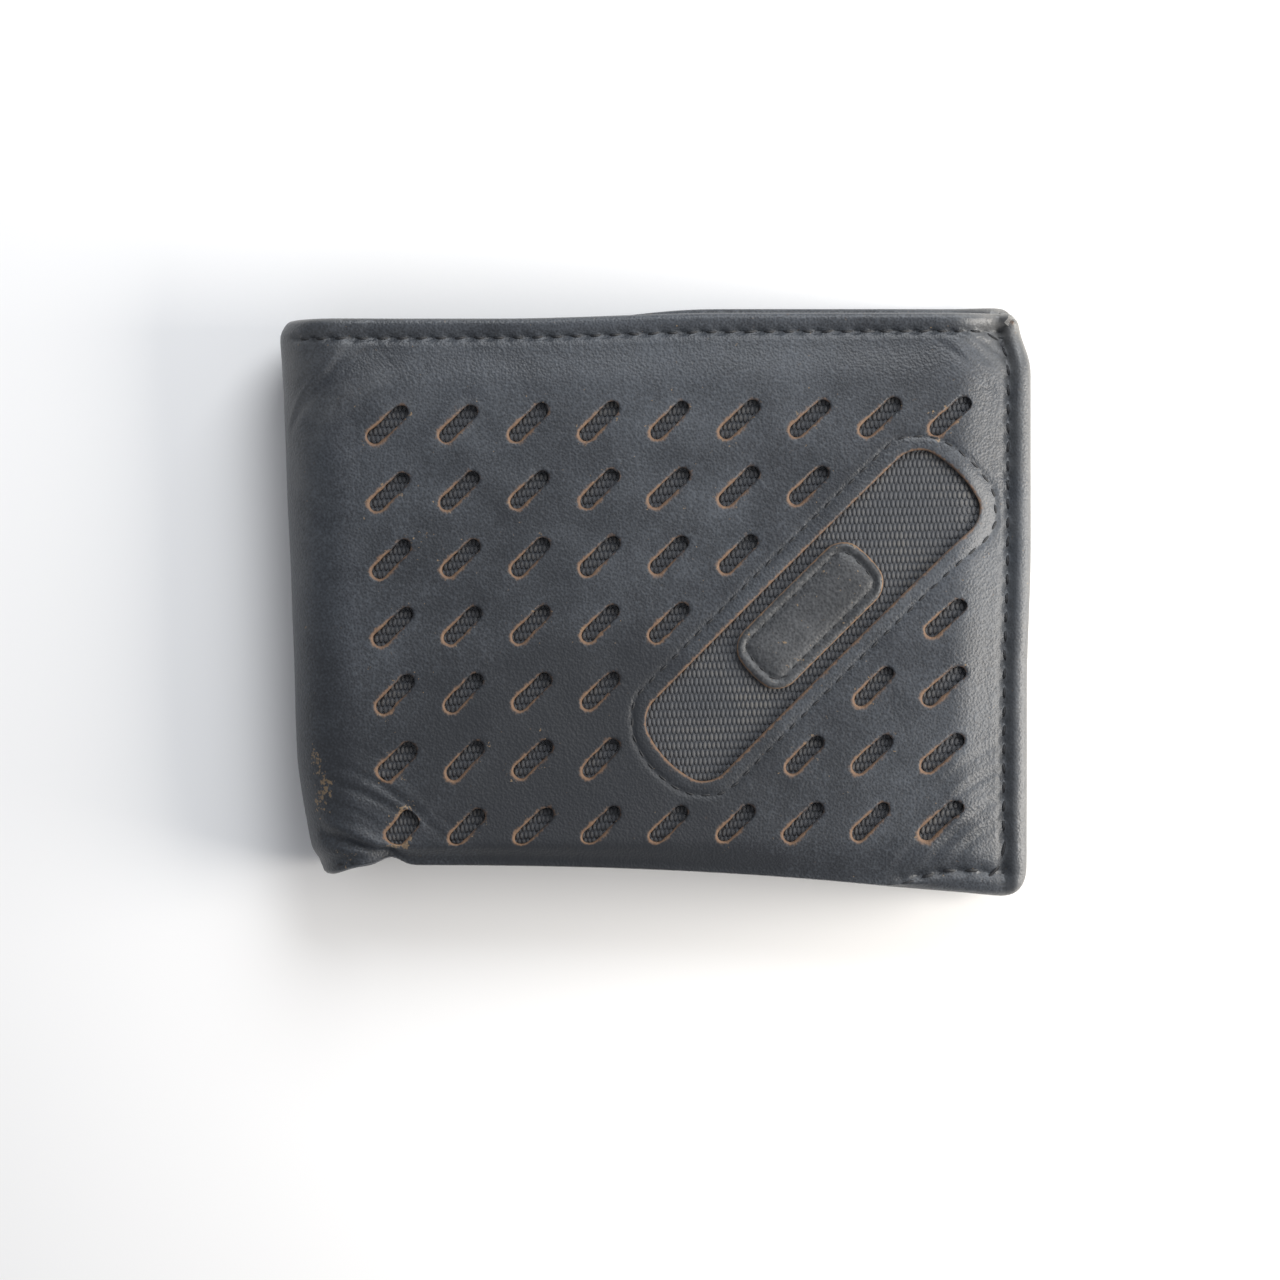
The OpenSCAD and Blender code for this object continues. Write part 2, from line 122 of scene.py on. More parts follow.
world = bpy.data.worlds.new("studio")
scene.world = world
world.use_nodes = True
sky = world.node_tree.nodes["Background"].inputs
sky["Color"].default_value = (0.93, 0.95, 1, 1)
sky["Strength"].default_value = 0.43
scene.view_settings.view_transform = "Standard"

# %% [markdown]
# ## Shader helpers
# Long node trees are hard to read as separate calls. `Value` wraps one socket, so that
# `grain * 0.3 + 0.5` adds the Math nodes by itself. `Graph` holds one tree, and its `node` method
# makes any other node from its type, its settings and its sockets. `Finish` is the graph of one
# material.

# %% Value, Graph and Finish
class Value:
    """One socket of a node tree, for sums."""

    def __init__(self, graph, socket):
        self.graph = graph
        self.socket = socket

    def math(self, operation, *others):
        sockets = dict(enumerate((self, *others)))
        return self.graph.node("ShaderNodeMath", {"operation": operation}, sockets)

    __add__ = __radd__ = lambda self, other: self.math("ADD", other)
    __mul__ = __rmul__ = lambda self, other: self.math("MULTIPLY", other)
    __sub__ = lambda self, other: self.math("SUBTRACT", other)
    __rsub__ = lambda self, other: (self * -1) + other
    __truediv__ = lambda self, other: self.math("DIVIDE", other)

    def between(self, low, high):
        """0 below low, 1 above high, and a soft step between them."""
        settings = {"interpolation_type": "SMOOTHSTEP"}
        return self.graph.node("ShaderNodeMapRange", settings, {0: self, 1: low, 2: high})


class Graph:
    """One node tree, of a material or of Geometry Nodes."""

    def plug(self, node, key, value):
        if isinstance(value, Value):
            value = value.socket
        if isinstance(value, bpy.types.NodeSocket):
            self.tree.links.new(value, node.inputs[key])
        else:
            node.inputs[key].default_value = value

    def node(self, kind, settings=None, sockets=None, output=0):
        node = self.tree.nodes.new(kind)
        for key, value in (settings or {}).items():
            setattr(node, key, value)
        for key, value in (sockets or {}).items():
            self.plug(node, key, value)
        return Value(self, node.outputs[output])

    def axes(self, place):
        split = self.node("ShaderNodeSeparateXYZ", None, {0: place})
        return [Value(self, socket) for socket in split.socket.node.outputs]


class Finish(Graph):
    """A new material with its Principled shader."""

    def __init__(self, name):
        self.material = bpy.data.materials.new(name)
        self.material.use_nodes = True
        self.tree = self.material.node_tree
        self.shader = self.tree.nodes["Principled BSDF"]
        self.place = self.tree.nodes.new("ShaderNodeTexCoord").outputs["Object"]

    def noise(self, scale, detail, roughness=0.55):
        sockets = {"Vector": self.place, "Scale": scale, "Detail": detail, "Roughness": roughness}
        return self.node("ShaderNodeTexNoise", None, sockets)

    def cells(self, scale):
        sockets = {"Vector": self.place, "Scale": scale}
        return self.node("ShaderNodeTexVoronoi", {"feature": "SMOOTH_F1"}, sockets)

    def attribute(self, name):
        return self.node("ShaderNodeAttribute", {"attribute_name": name}, None, "Fac")

    def mix(self, amount, low, high):
        """A colour between two colours, each a tuple or a Value."""
        def colour(c):
            return (*c, 1) if isinstance(c, tuple) else c
        settings = {"data_type": "RGBA"}
        sockets = {0: amount, 6: colour(low), 7: colour(high)}
        return self.node("ShaderNodeMix", settings, sockets, 2)

    def bump(self, height, distance, strength):
        sockets = {"Height": height, "Distance": distance, "Strength": strength}
        return self.node("ShaderNodeBump", None, sockets)

    def finish(self, **sockets):
        """Plugs the shader's sockets, with _ for each space in a name."""
        for key, value in sockets.items():
            self.plug(self.shader, key.replace("_", " "), value)
        return self.material


# %% [markdown]
# ## The cover's leather
# The real leather was dyed dark blue-grey and has been carried for years. Three things make it
# look so: a fine pebbled grain, a slow change of tone from rubbing, and raw tan leather showing
# wherever a cut edge or a corner has lost its dye. Light and shade are also painted in. The mesh
# carries three attributes: the raw one is 1 on a cut edge, and round the cut-outs it is painted
# stronger on the lamp-lit lower left wall as a painted highlight; the rub one is high on the edges
# that hands and pockets wear, and on the cover it also holds painted shade in the lower middle,
# partly dirt, and painted light at the upper left; `crumb` is high where chips gather.

# %% Leather
def srgb(r, g, b):
    """A colour as measured on a screen, 0 to 255, as the linear light a shader needs."""
    def one(c):
        c = c / 255
        return c / 12.92 if c <= 0.04045 else ((c + 0.055) / 1.055) ** 2.4
    return (one(r), one(g), one(b))


def leather(name, dark, light, rubbed, raw_colour, speck_amount, grain_size, gloss):
    f = Finish(name)
    raw, rub, crumb = f.attribute("raw"), f.attribute("rub"), f.attribute("crumb")
    slow = f.noise(38, 3, 0.6)
    cloud = f.noise(170, 4, 0.6)
    fine = f.noise(2600, 2, 0.6)
    pebble = f.cells(1 / (grain_size * MM))
    crease = f.noise(0.45 / (grain_size * MM), 3, 0.55)

    shade = (slow - 0.5) * 0.9 + (cloud - 0.5) * 0.5 + (fine - 0.5) * 0.7
    # The rub attribute lightens the tone; on the cover it also holds painted shade, below zero in the
    # lower middle, and painted light at the upper left
    shade = shade + pebble * 0.5 + 0.12 + rub * 0.5
    base = f.mix(shade.between(0.0, 1.0), dark, light)
    base = f.mix((rub * 0.8 + (cloud - 0.5) * 0.5).between(0.1, 1.3), base, rubbed)

    # Small tan specks where the dye is chipped, thicker near raw edges and rubbed corners
    chips = f.noise(1000, 3, 0.7)
    patch = f.noise(75, 2, 0.5)
    limit = 0.74 - patch * 0.1 - rub * 0.02 - raw * 0.06 - crumb * patch * 0.2 - speck_amount
    chipped = (chips - limit).between(0.0, 0.05) * 0.7
    dust = f.mix(f.noise(420, 2), srgb(104, 84, 64), srgb(150, 128, 96))
    base = f.mix(chipped, base, dust)

    # Raw leather along the cuts, broken up so that no two rims are alike; round the cut-outs it also
    # holds a painted highlight on the lamp-lit lower left wall
    ragged_raw_and_lit = (raw + (f.noise(800, 4, 0.7) - 0.5) * 1.6).between(0.25, 0.85)
    tan = f.mix(f.noise(520, 3), raw_colour, srgb(124, 98, 74))
    base = f.mix(ragged_raw_and_lit * 0.8, base, tan)

    rough = (cloud - 0.5) * 0.2 + (slow - 0.5) * 0.15 + ragged_raw_and_lit * 0.25 - rub * 0.05 + gloss
    grain = pebble + crease * 0.9 + fine * 0.3
    return f.finish(Base_Color=base, Roughness=rough, Normal=f.bump(grain, 0.0003, 0.25))


cover_leather = leather("worn_leather", srgb(31, 34, 39), srgb(70, 75, 82), srgb(118, 116, 112),
                        srgb(96, 70, 52), -0.01, 0.36, 0.47)
badge_leather = leather("patch_leather", srgb(36, 38, 41), srgb(80, 82, 85), srgb(112, 108, 102),
                        srgb(132, 100, 72), 0.045, 0.45, 0.48)
inner_leather = leather("inner_leather", srgb(26, 28, 32), srgb(58, 62, 68), srgb(84, 84, 84),
                        srgb(72, 60, 50), -0.05, 0.6, 0.45)
print("leathers:", cover_leather.name, badge_leather.name, inner_leather.name)

# %% [markdown]
# ## Nylon, thread, metal and the rest
# The woven nylon behind the cut-outs gets its threads as geometry further down, so its material
# only needs the fibres' shade: `high` is 1 on top of a thread, where it is rubbed and dusty. The
# thin lining is too fine for that, and its weave is two crossed sine waves in a bump.

# %% Other materials
f = Finish("woven_nylon")
fibre = f.noise(3800, 2, 0.7)
dirt = f.noise(110, 3, 0.6)
black = f.mix(fibre, srgb(27, 29, 33), srgb(60, 64, 71))
dusty = f.mix(dirt, srgb(94, 98, 105), srgb(106, 99, 86))
worn = (f.attribute("high") - 0.3).between(0.0, 0.5) * (dirt.between(0.35, 0.7) * 0.35 + 0.15)
woven_nylon = f.finish(Base_Color=f.mix(worn, black, dusty), Roughness=0.62, Sheen_Weight=0.15,
                       Normal=f.bump(fibre, 0.00008, 0.5))

f = Finish("fine_nylon")
x, y, z = f.axes(f.place)
turns = 2 * math.pi / (0.55 * MM)
weave = (x * turns).math("SINE") * (y * turns).math("SINE")
shade = (weave * 0.25 + 0.5) * 0.7 + f.noise(260, 3) * 0.3
fine_nylon = f.finish(Base_Color=f.mix(shade, srgb(18, 19, 22), srgb(48, 50, 55)), Roughness=0.7,
                      Normal=f.bump(weave, 0.00006, 0.5))

f = Finish("waxed_thread")
twist = f.noise(4200, 2, 0.5)
waxed_thread = f.finish(Base_Color=f.mix(twist, srgb(8, 9, 11), srgb(34, 36, 41)), Roughness=0.65,
                        Normal=f.bump(twist, 0.0001, 0.6))

f = Finish("fibre_board")
fibres = f.noise(900, 4, 0.7)
fibre_board = f.finish(Base_Color=f.mix(fibres, srgb(120, 104, 82), srgb(164, 148, 122)),
                       Roughness=0.85, Normal=f.bump(fibres, 0.0002, 0.4))

f = Finish("clear_sheet")
haze = f.noise(150, 3, 0.6)
clear_sheet = f.finish(Base_Color=(0.6, 0.64, 0.66, 1), Roughness=haze * 0.16 + 0.06,
                       Alpha=haze * 0.1 + 0.06, IOR=1.45, Specular_IOR_Level=0.6,
                       Normal=f.bump(f.noise(40, 2), 0.0004, 0.12))

f = Finish("snap_metal")
patina = f.noise(900, 4, 0.7)
colour = f.mix(patina.between(0.35, 0.65), srgb(70, 64, 54), srgb(168, 158, 140))
snap_metal = f.finish(Base_Color=colour, Metallic=1.0, Roughness=patina * 0.25 + 0.22,
                      Normal=f.bump(f.noise(5200, 2, 0.5), 0.00003, 0.3))

f = Finish("pale_floor")
pale_floor = f.finish(Base_Color=f.mix(f.noise(4, 3), (0.86, 0.86, 0.86), (0.9, 0.9, 0.9)),
                      Roughness=0.7)
print("finishes made:", len(bpy.data.materials))

# %% Floor
FLOOR = 3.0
floor_mesh = bpy.data.meshes.new("floor")
corners = [(x, y, 0) for x, y in ((-FLOOR, -FLOOR), (FLOOR, -FLOOR), (FLOOR, FLOOR), (-FLOOR, FLOOR))]
floor_mesh.from_pydata(corners, [], [(0, 1, 2, 3)])
floor_mesh.materials.append(pale_floor)
floor = bpy.data.objects.new("floor", floor_mesh)
floor.location.z = -0.05 * MM
scene.collection.objects.link(floor)

# %% [markdown]
# ## One way to make every leather layer
# A layer of leather is a flat shape with round edges, sometimes with holes and a turned hem.
# We draw it flat, in (u, v), fill it with even triangles that keep to the outline and the holes,
# and roll its border over in rows. Only then is it bent: `place` turns each (u, v, depth) into a
# point of the wallet. Cutting first and bending second is also how a leather worker does it.

# %% Outlines
def smooth(low, high, x):
    """0 at low, 1 at high, soft between, for numbers or arrays."""
    t = np.clip((np.asarray(x, float) - low) / (high - low), 0, 1)
    return t * t * (3 - 2 * t)


def hump(x, centre, width):
    return np.exp(-(((np.asarray(x, float) - centre) / width) ** 2))


def run(a, b, step):
    """Even points from a towards b, without b itself."""
    a, b = np.array(a, float), np.array(b, float)
    count = max(1, round(float(np.linalg.norm(b - a)) / step))
    return [a + (b - a) * i / count for i in range(count)]


def rounded_outline(left, right, foot, head, corner, step=1.0, cut=0.0):
    """Anticlockwise points and outward directions of a panel. corner is a radius, or one for the
    foot and one for the head. With a cut, its left side is a bare edge, where the piece goes on
    in another one, and has no direction."""
    points = []
    outs = []

    def side(a, b, out):
        for p in run(a, b, step):
            points.append(p)
            outs.append(out)

    def turn(x, y, start, corner):
        # A quarter turn is 1.6 radii long, and gets half as many points again as a straight side
        count = max(4, round(corner * 1.6 / step * 1.5))
        for i in range(count):
            angle = start + i / count * math.pi / 2
            out = np.array((math.cos(angle), math.sin(angle)))
            points.append(np.array((x, y)) + corner * out)
            outs.append(out)

    low, high = corner if isinstance(corner, tuple) else (corner, corner)
    side((left if cut else left + low, foot), (right - low, foot), (0, -1))
    turn(right - low, foot + low, -math.pi / 2, low)
    side((right, foot + low), (right, head - high), (1, 0))
    turn(right - high, head - high, 0, high)
    side((right - high, head), (left if cut else left + high, head), (0, 1))
    if cut:
        points.append(np.array((left, head)))
        outs.append((0, 1))
        side((left, head - cut), (left, foot + cut), (0, 0))
        points.append(np.array((left, foot + cut)))
        outs.append((0, 0))
    else:
        turn(left + high, head - high, math.pi / 2, high)
        side((left, head - high), (left, foot + low), (-1, 0))
        turn(left + low, foot + low, math.pi, low)
    return np.array(points, float), np.array(outs, float)


def inside(points, loop):
    """Which points lie inside a closed loop."""
    x, y = points[:, 0], points[:, 1]
    result = np.zeros(len(points), bool)
    for (x0, y0), (x1, y1) in zip(loop, np.roll(loop, -1, axis=0)):
        if y0 == y1:
            continue
        crosses = ((y0 > y) != (y1 > y)) & (x < (x1 - x0) * (y - y0) / (y1 - y0) + x0)
        result ^= crosses
    return result


# %% Flat fill
ROW_STEP = 0.87   # between rows of even triangles, as a share of their side


def fill_flat(boundary, inner, holes, spacing, dots):
    """Triangles between a boundary loop and holes. Each hole is a list of loops, its edge first.
    dots are extra points for places that need more detail. Returns the points, the triangles
    and each loop's point numbers."""
    loops = [boundary] + ([inner] if inner is not None else [])
    loops += [ring for rings in holes for ring in rings]
    tree = kdtree.KDTree(sum(len(loop) for loop in loops) + len(dots))
    points, edges = [], []
    for loop in loops:
        first = len(points)
        for i, p in enumerate(loop):
            tree.insert((p[0], p[1], 0), first + i)
            points.append(p)
            edges.append((first + i, first + (i + 1) % len(loop)))
    for p in dots:
        tree.insert((p[0], p[1], 0), len(points))
        points.append(np.array(p))
    tree.balance()
    low, high = boundary.min(axis=0), boundary.max(axis=0)
    rows = int((high[1] - low[1]) / (spacing * ROW_STEP))
    for j in range(1, rows):
        y = low[1] + j * (high[1] - low[1]) / rows
        shift = 0.5 * spacing * (j % 2)
        for x in np.arange(low[0] + 0.3 * spacing + shift, high[0], spacing):
            if tree.find((x, y, 0))[2] > 0.6 * spacing:
                points.append(np.array((x, y)))
    result = geometry.delaunay_2d_cdt([Vector(p) for p in points], edges, [], 0, 1e-4)
    flat = np.array([tuple(p) for p in result[0]])
    triangles = np.array([tuple(t) for t in result[2]])
    number = {}
    for new, olds in enumerate(result[3]):
        for old in olds:
            number[old] = new
    a, b, c = (flat[triangles[:, k]] for k in range(3))
    turned = np.cross(b - a, c - a) < 0
    triangles[turned] = triangles[turned][:, ::-1]
    centres = (a + b + c) / 3
    keep = inside(centres, boundary)
    for rings in holes:
        keep &= ~inside(centres, rings[0])
    triangles = triangles[keep]
    numbers, first = [], 0
    for loop in loops:
        numbers.append([number[first + i] for i in range(len(loop))])
        first += len(loop)
    return flat, triangles, numbers


# %% Sheets
# For each loop round a cut-out: its distance from the cut, how far it sinks, and how raw it is
RING_GAPS = (0, 0.18, 0.42, 0.85)
RING_SINK = (0.28, 0.06, 0.0, 0.0)
RING_RAW = (1.0, 0.85, 0.42, 0.05)
SHARP_ANGLE = math.radians(50)


def new_mesh_object(name, vertices, faces, attributes, finish, flip=False):
    """A smooth mesh at the world's origin. Its points come in millimetres."""
    mesh = bpy.data.meshes.new(name)
    if flip:
        faces = [tuple(reversed(face)) for face in faces]
    mesh.from_pydata([tuple(v) for v in np.asarray(vertices) * MM], [], faces)
    for key, values in attributes.items():
        layer = mesh.attributes.new(key, "FLOAT", "POINT")
        layer.data.foreach_set("value", np.asarray(values, np.float32))
    tidy = bmesh.new()
    tidy.from_mesh(mesh)
    bmesh.ops.remove_doubles(tidy, verts=tidy.verts, dist=0.002 * MM)
    bmesh.ops.dissolve_degenerate(tidy, edges=tidy.edges, dist=0.001 * MM)
    tidy.to_mesh(mesh)
    tidy.free()
    mesh.polygons.foreach_set("use_smooth", [True] * len(mesh.polygons))
    mesh.set_sharp_from_angle(angle=SHARP_ANGLE)
    mesh.materials.append(finish)
    piece = bpy.data.objects.new(name, mesh)
    scene.collection.objects.link(piece)
    print(name, len(mesh.vertices), "points", len(mesh.polygons), "faces")
    return piece


def leather_sheet(name, outline, place, thick, finish, edge, spacing, hem=0.0, holes=(), dots=(),
                  flip=False, edge_raw=0.1, edge_rub=0.5, wear=None):
    """A closed sheet of leather. place(u, v, depth) gives its points in the wallet, and
    the wear function gives more of raw, rub and crumb, with painted shade and light in the cover's
    rub."""
    points, outs = outline
    whole = thick + (HEM if hem else 0)
    turns = np.linspace(0, math.pi, 7)
    rows = [(-edge + edge * math.sin(t), whole / 2 * (1 - math.cos(t))) for t in turns]
    if hem:
        rows += [(-hem, whole), (-hem - 0.3, thick + 0.3 * HEM), (-hem - 0.5, thick)]
    rows[-1] = (rows[-1][0], thick)
    loose = np.linalg.norm(outs, axis=1) < 0.5

    top_loop = points + outs * rows[0][0]
    inner_loop = points + outs * rows[-1][0] if hem else None
    flat, triangles, numbers = fill_flat(top_loop, inner_loop, holes, spacing, dots)
    last_loop = inner_loop if hem else top_loop

    data = [(p[0], p[1], 0.0, 0.0, 0.0) for p in flat]
    ring = 2 if hem else 1
    for rings in holes:
        middle = rings[0].mean(axis=0)
        lit_side_lean = 0.3 if np.ptp(rings[0][:, 0]) < 10 else 0.05
        for step in range(len(rings)):
            for n in numbers[ring]:
                # Round a cut-out the raw rim is painted stronger on its lower left wall, which the
                # lamp lights, and weaker on the shaded upper right: a painted highlight and painted
                # shade
                away = (flat[n] - middle) / np.linalg.norm(flat[n] - middle)
                raw_and_lit_side = RING_RAW[step] * (0.78 - lit_side_lean * (away[0] + 0.7 * away[1]))
                data[n] = (*flat[n], RING_SINK[step], raw_and_lit_side, 0.1)
            ring += 1
    faces = [tuple(t) for t in triangles]

    below = {}

    def lower(n):
        if n not in below:
            below[n] = len(data)
            data.append((flat[n][0], flat[n][1], thick, data[n][3], 0.0))
        return below[n]

    centres = flat[triangles].mean(axis=1)
    under = triangles[inside(centres, last_loop)] if hem else triangles
    faces += [(lower(t[2]), lower(t[1]), lower(t[0])) for t in under]

    count = len(points)
    before = numbers[0]
    for k in range(1, len(rows)):
        a, b = rows[k]
        if k == len(rows) - 1:
            here = [lower(n) for n in (numbers[1] if hem else numbers[0])]
        else:
            here = []
            for i in range(count):
                depth = min(b, thick) if loose[i] else b
                p = points[i] + outs[i] * a
                here.append(len(data))
                on_edge = math.sin(turns[k]) if k < len(turns) else 0.0
                data.append((p[0], p[1], depth, edge_raw * on_edge, edge_rub * on_edge))
        for i in range(count):
            j = (i + 1) % count
            faces.append((before[i], here[i], here[j], before[j]))
        before = here

    ring = 2 if hem else 1
    for rings in holes:
        loop = numbers[ring]
        for i in range(len(loop)):
            j = (i + 1) % len(loop)
            faces.append((loop[i], loop[j], lower(loop[j]), lower(loop[i])))
        ring += len(rings)

    data = np.array(data)
    u, v, depth, raw, rub = data.T
    marks = {"raw": raw, "rub": rub}
    if wear is not None:
        for key, more in wear(u, v).items():
            marks[key] = marks.get(key, 0) + more
    faces = [f for f in faces if len(set(f)) == len(f)]
    return new_mesh_object(name, place(u, v, depth), faces, marks, finish, flip)


# %% [markdown]
# ## How the cover has worn
# Carried in a pocket, the wallet has gone out of square: it is a little lower at the fold than at
# the free edge, its lower fold corner is pushed in, and the perforated field is drawn in at the
# bottom. `settle` moves a point of the square plan to where it has ended up. Everything that
# shows from outside goes through it, so that the layers still meet.

# %% Plan of the worn wallet
def top_edge(x):
    return 44.6 + 0.9 * smooth(-25, 12, x)


def foot_edge(x):
    rise = np.clip((np.asarray(x, float) + 40) / 94, 0, 1) ** 2.3
    tip = 1.7 * hump(x, -55.6, 4.2) - 1.35 * hump(x, -44.8, 2.3)
    return -41.9 - 5.1 * rise - tip


def settle(x, y, share=1.0):
    """Moves plan points. share 0 keeps x, for layers that turn on their own hinge."""
    pull = 0.011 + 0.00066 * (y - 29)
    pull = pull * (1 - smooth(40, 58, x))
    new_x = x * (1 + pull) + (0.8 + 0.6 * smooth(-15, 8, y)) * smooth(46, 58, x)
    new_x = new_x - (1.25 + 0.5 * smooth(33, 42, y)) * smooth(-42, -58, x)
    new_x = new_x - 1.9 * smooth(35, 44, y) * smooth(44, 58, x)
    round_end = 0.7 * smooth(-39, -45, y) ** 2 + 1.2 * smooth(41.5, 45, y) ** 2
    new_x = new_x + round_end * smooth(-47, -58, x)
    new_x = new_x + 2.0 * smooth(-23, -44, y) * smooth(-30, -58, x)
    new_x = x + (new_x - x) * share
    tilt = 0.015 * x * (1 - smooth(36, 45, np.abs(y)))
    up = (top_edge(x) - HALF_H) * smooth(30, 45, y)
    down = (foot_edge(x) + HALF_H) * smooth(-37, -45, y)
    return new_x, y + tilt + up + down


def standing(u, v, height):
    """Points of an inner layer, which follows the cover's plan only in y."""
    x, y = settle(u, v, 0.0)
    return np.stack([x, y, height], axis=1)


# %% Window and badge outlines
WINDOW_AT = np.array((24.5, -2.8))
WINDOW_TURN = math.radians(44.5)
COS, SIN = math.cos(WINDOW_TURN), math.sin(WINDOW_TURN)
SLANT = np.array(((COS, SIN), (-SIN, COS)))   # along the window, and across it
WINDOW = (60.0, 16.2, 2.0)   # length, width, and how far each end bows out
BADGE = (24.0, 11.6, 1.0)
PATCH_CORNER = 3.0


def bowed(a, b, size):
    """How far a point of a patch is moved outwards by the bow of its ends."""
    length, width, bow = size
    near_end = smooth(length / 2 - 12, length / 2, np.abs(a))
    return np.sign(a) * bow * (1 - np.clip((2 * b / width) ** 2, 0, 1)) * near_end


def patch_outline(size, gap=0.0, step=0.5):
    """The outline of the window or badge in its own axes, gap outside its edge."""
    length, width = size[:2]
    points, outs = rounded_outline(-length / 2, length / 2, -width / 2, width / 2, PATCH_CORNER,
                                   step)
    points = points + outs * gap
    points[:, 0] += bowed(points[:, 0], points[:, 1], size)
    return points, outs


def slanted(points):
    """From the window's axes to the plan of the wallet."""
    return points @ SLANT + WINDOW_AT


def patch_gap(u, v, size):
    """Distance outside the edge of the window or badge, below 0 inside."""
    du, dv = u - WINDOW_AT[0], v - WINDOW_AT[1]
    a, b = du * COS + dv * SIN, dv * COS - du * SIN
    a = a - bowed(a, b, size)
    qa = np.abs(a) - size[0] / 2 + PATCH_CORNER
    qb = np.abs(b) - size[1] / 2 + PATCH_CORNER
    outside = np.hypot(np.maximum(qa, 0), np.maximum(qb, 0))
    return outside + np.minimum(np.maximum(qa, qb), 0) - PATCH_CORNER


# %% [markdown]
# ## The surface of a cover
# The leather is drawn down at its free edges to the seam that holds the layers, and stands up in
# a narrow roll outside it. `sink` adds up how far each place lies below the flat middle: these
# slopes, the seam's groove, the creases at the corners and a slight waviness of soft leather.

# %% How deep the leather lies
def creases(u, v, lines):
    """Shallow folds, each from one point to another, with a depth and a width."""
    total = np.zeros_like(u)
    for (u0, v0), (u1, v1), deep, wide in lines:
        along = np.array((u1 - u0, v1 - v0))
        length = np.hypot(*along)
        t = ((u - u0) * along[0] + (v - v0) * along[1]) / length ** 2
        bow = 0.06 * length * np.sin(math.pi * np.clip(t, 0, 1))
        off = ((v - v0) * along[0] - (u - u0) * along[1]) / length - bow
        fade = np.sin(math.pi * np.clip(t, 0, 1)) ** 0.7
        total += deep * fade * (hump(off, 0, wide) - 0.55 * hump(off, 1.7 * wide, wide))
    return total


def fan(start, spread, count, far, turn, deep, wide):
    """Creases that leave a corner side by side."""
    lines = []
    for i in range(count):
        t = i / max(1, count - 1)
        a = (start[0] + spread[0] * t, start[1] + spread[1] * t)
        reach = far * (0.75 + 0.25 * math.sin(5 * i + 1))
        angle = math.radians(turn + 9 * math.sin(3 * i))
        b = (a[0] + reach * math.cos(angle), a[1] + reach * math.sin(angle))
        lines.append((a, b, deep * (0.6 + 0.4 * math.cos(4 * i)), wide))
    return lines


HEAD_FOLD = fan((-59, 27), (10, 9), 8, 17, 46, 0.3, 0.55)
FOOT_FOLD = [((-57, -36), (-43.5, -42.6), 1.0, 1.2), ((-57, -27), (-40, -34.5), 0.3, 0.7),
             ((-54, -24), (-36, -36), 0.25, 0.6), ((-46, -29), (-33, -39), 0.22, 0.5),
             ((-52, -21), (-40, -27.5), 0.12, 0.4), ((-48, -25), (-37, -30), 0.12, 0.35),
             ((-42, -31.5), (-32, -36), 0.14, 0.35), ((-54, -31), (-45, -35.5), 0.16, 0.5)]
FOOT_FREE = [((43, -42.5), (52.5, -35), 0.3, 0.55), ((47, -42), (55, -35.5), 0.28, 0.6),
             ((47, -38.5), (55.2, -31.5), 0.26, 0.55), ((46.5, -33.5), (55.2, -27), 0.24, 0.55),
             ((45, -31), (55, -23), 0.15, 0.6), ((38, -42), (46, -37.5), 0.2, 0.6)]
HEAD_FREE = [((42, 41.5), (53.5, 31), 0.16, 0.5), ((46, 42), (54, 34.5), 0.2, 0.45),
             ((49, 42), (54.4, 37.5), 0.2, 0.4), ((54.6, 41.4), (59, 45.6), 0.75, 0.4)]
FRONT_CREASES = HEAD_FOLD + FOOT_FOLD + FOOT_FREE + HEAD_FREE
BACK_CREASES = fan((-56, 20), (6, 9), 5, 16, 40, 0.25, 0.6) + FOOT_FREE


def waves(u, v, phase):
    """A slow unevenness, a tenth of a millimetre or so."""
    a = np.sin(u / 9.5 + phase) * np.sin(v / 12.0 + 1.3 * phase)
    b = np.sin(u / 5.3 - v / 7.1 + 2.1 * phase)
    c = np.sin(u / 3.1 + v / 2.7 + 0.7 * phase)
    return 0.10 * a + 0.06 * b + 0.025 * c


SIDE_DROP = 2.3
FOOT_DROP = 2.4
HEAD_DROP = 0.8
CORNER_DROP = 2.0
COVER_PHASE = 0.4
EDGE_PITCH = 3.0   # from one stitch of the edge seam to the next


def pulled(along):
    """How hard a seam draws the leather down: hardest at the holes between two stitches."""
    return 0.72 - 0.28 * np.cos(2 * math.pi * (along + 54.5) / EDGE_PITCH)


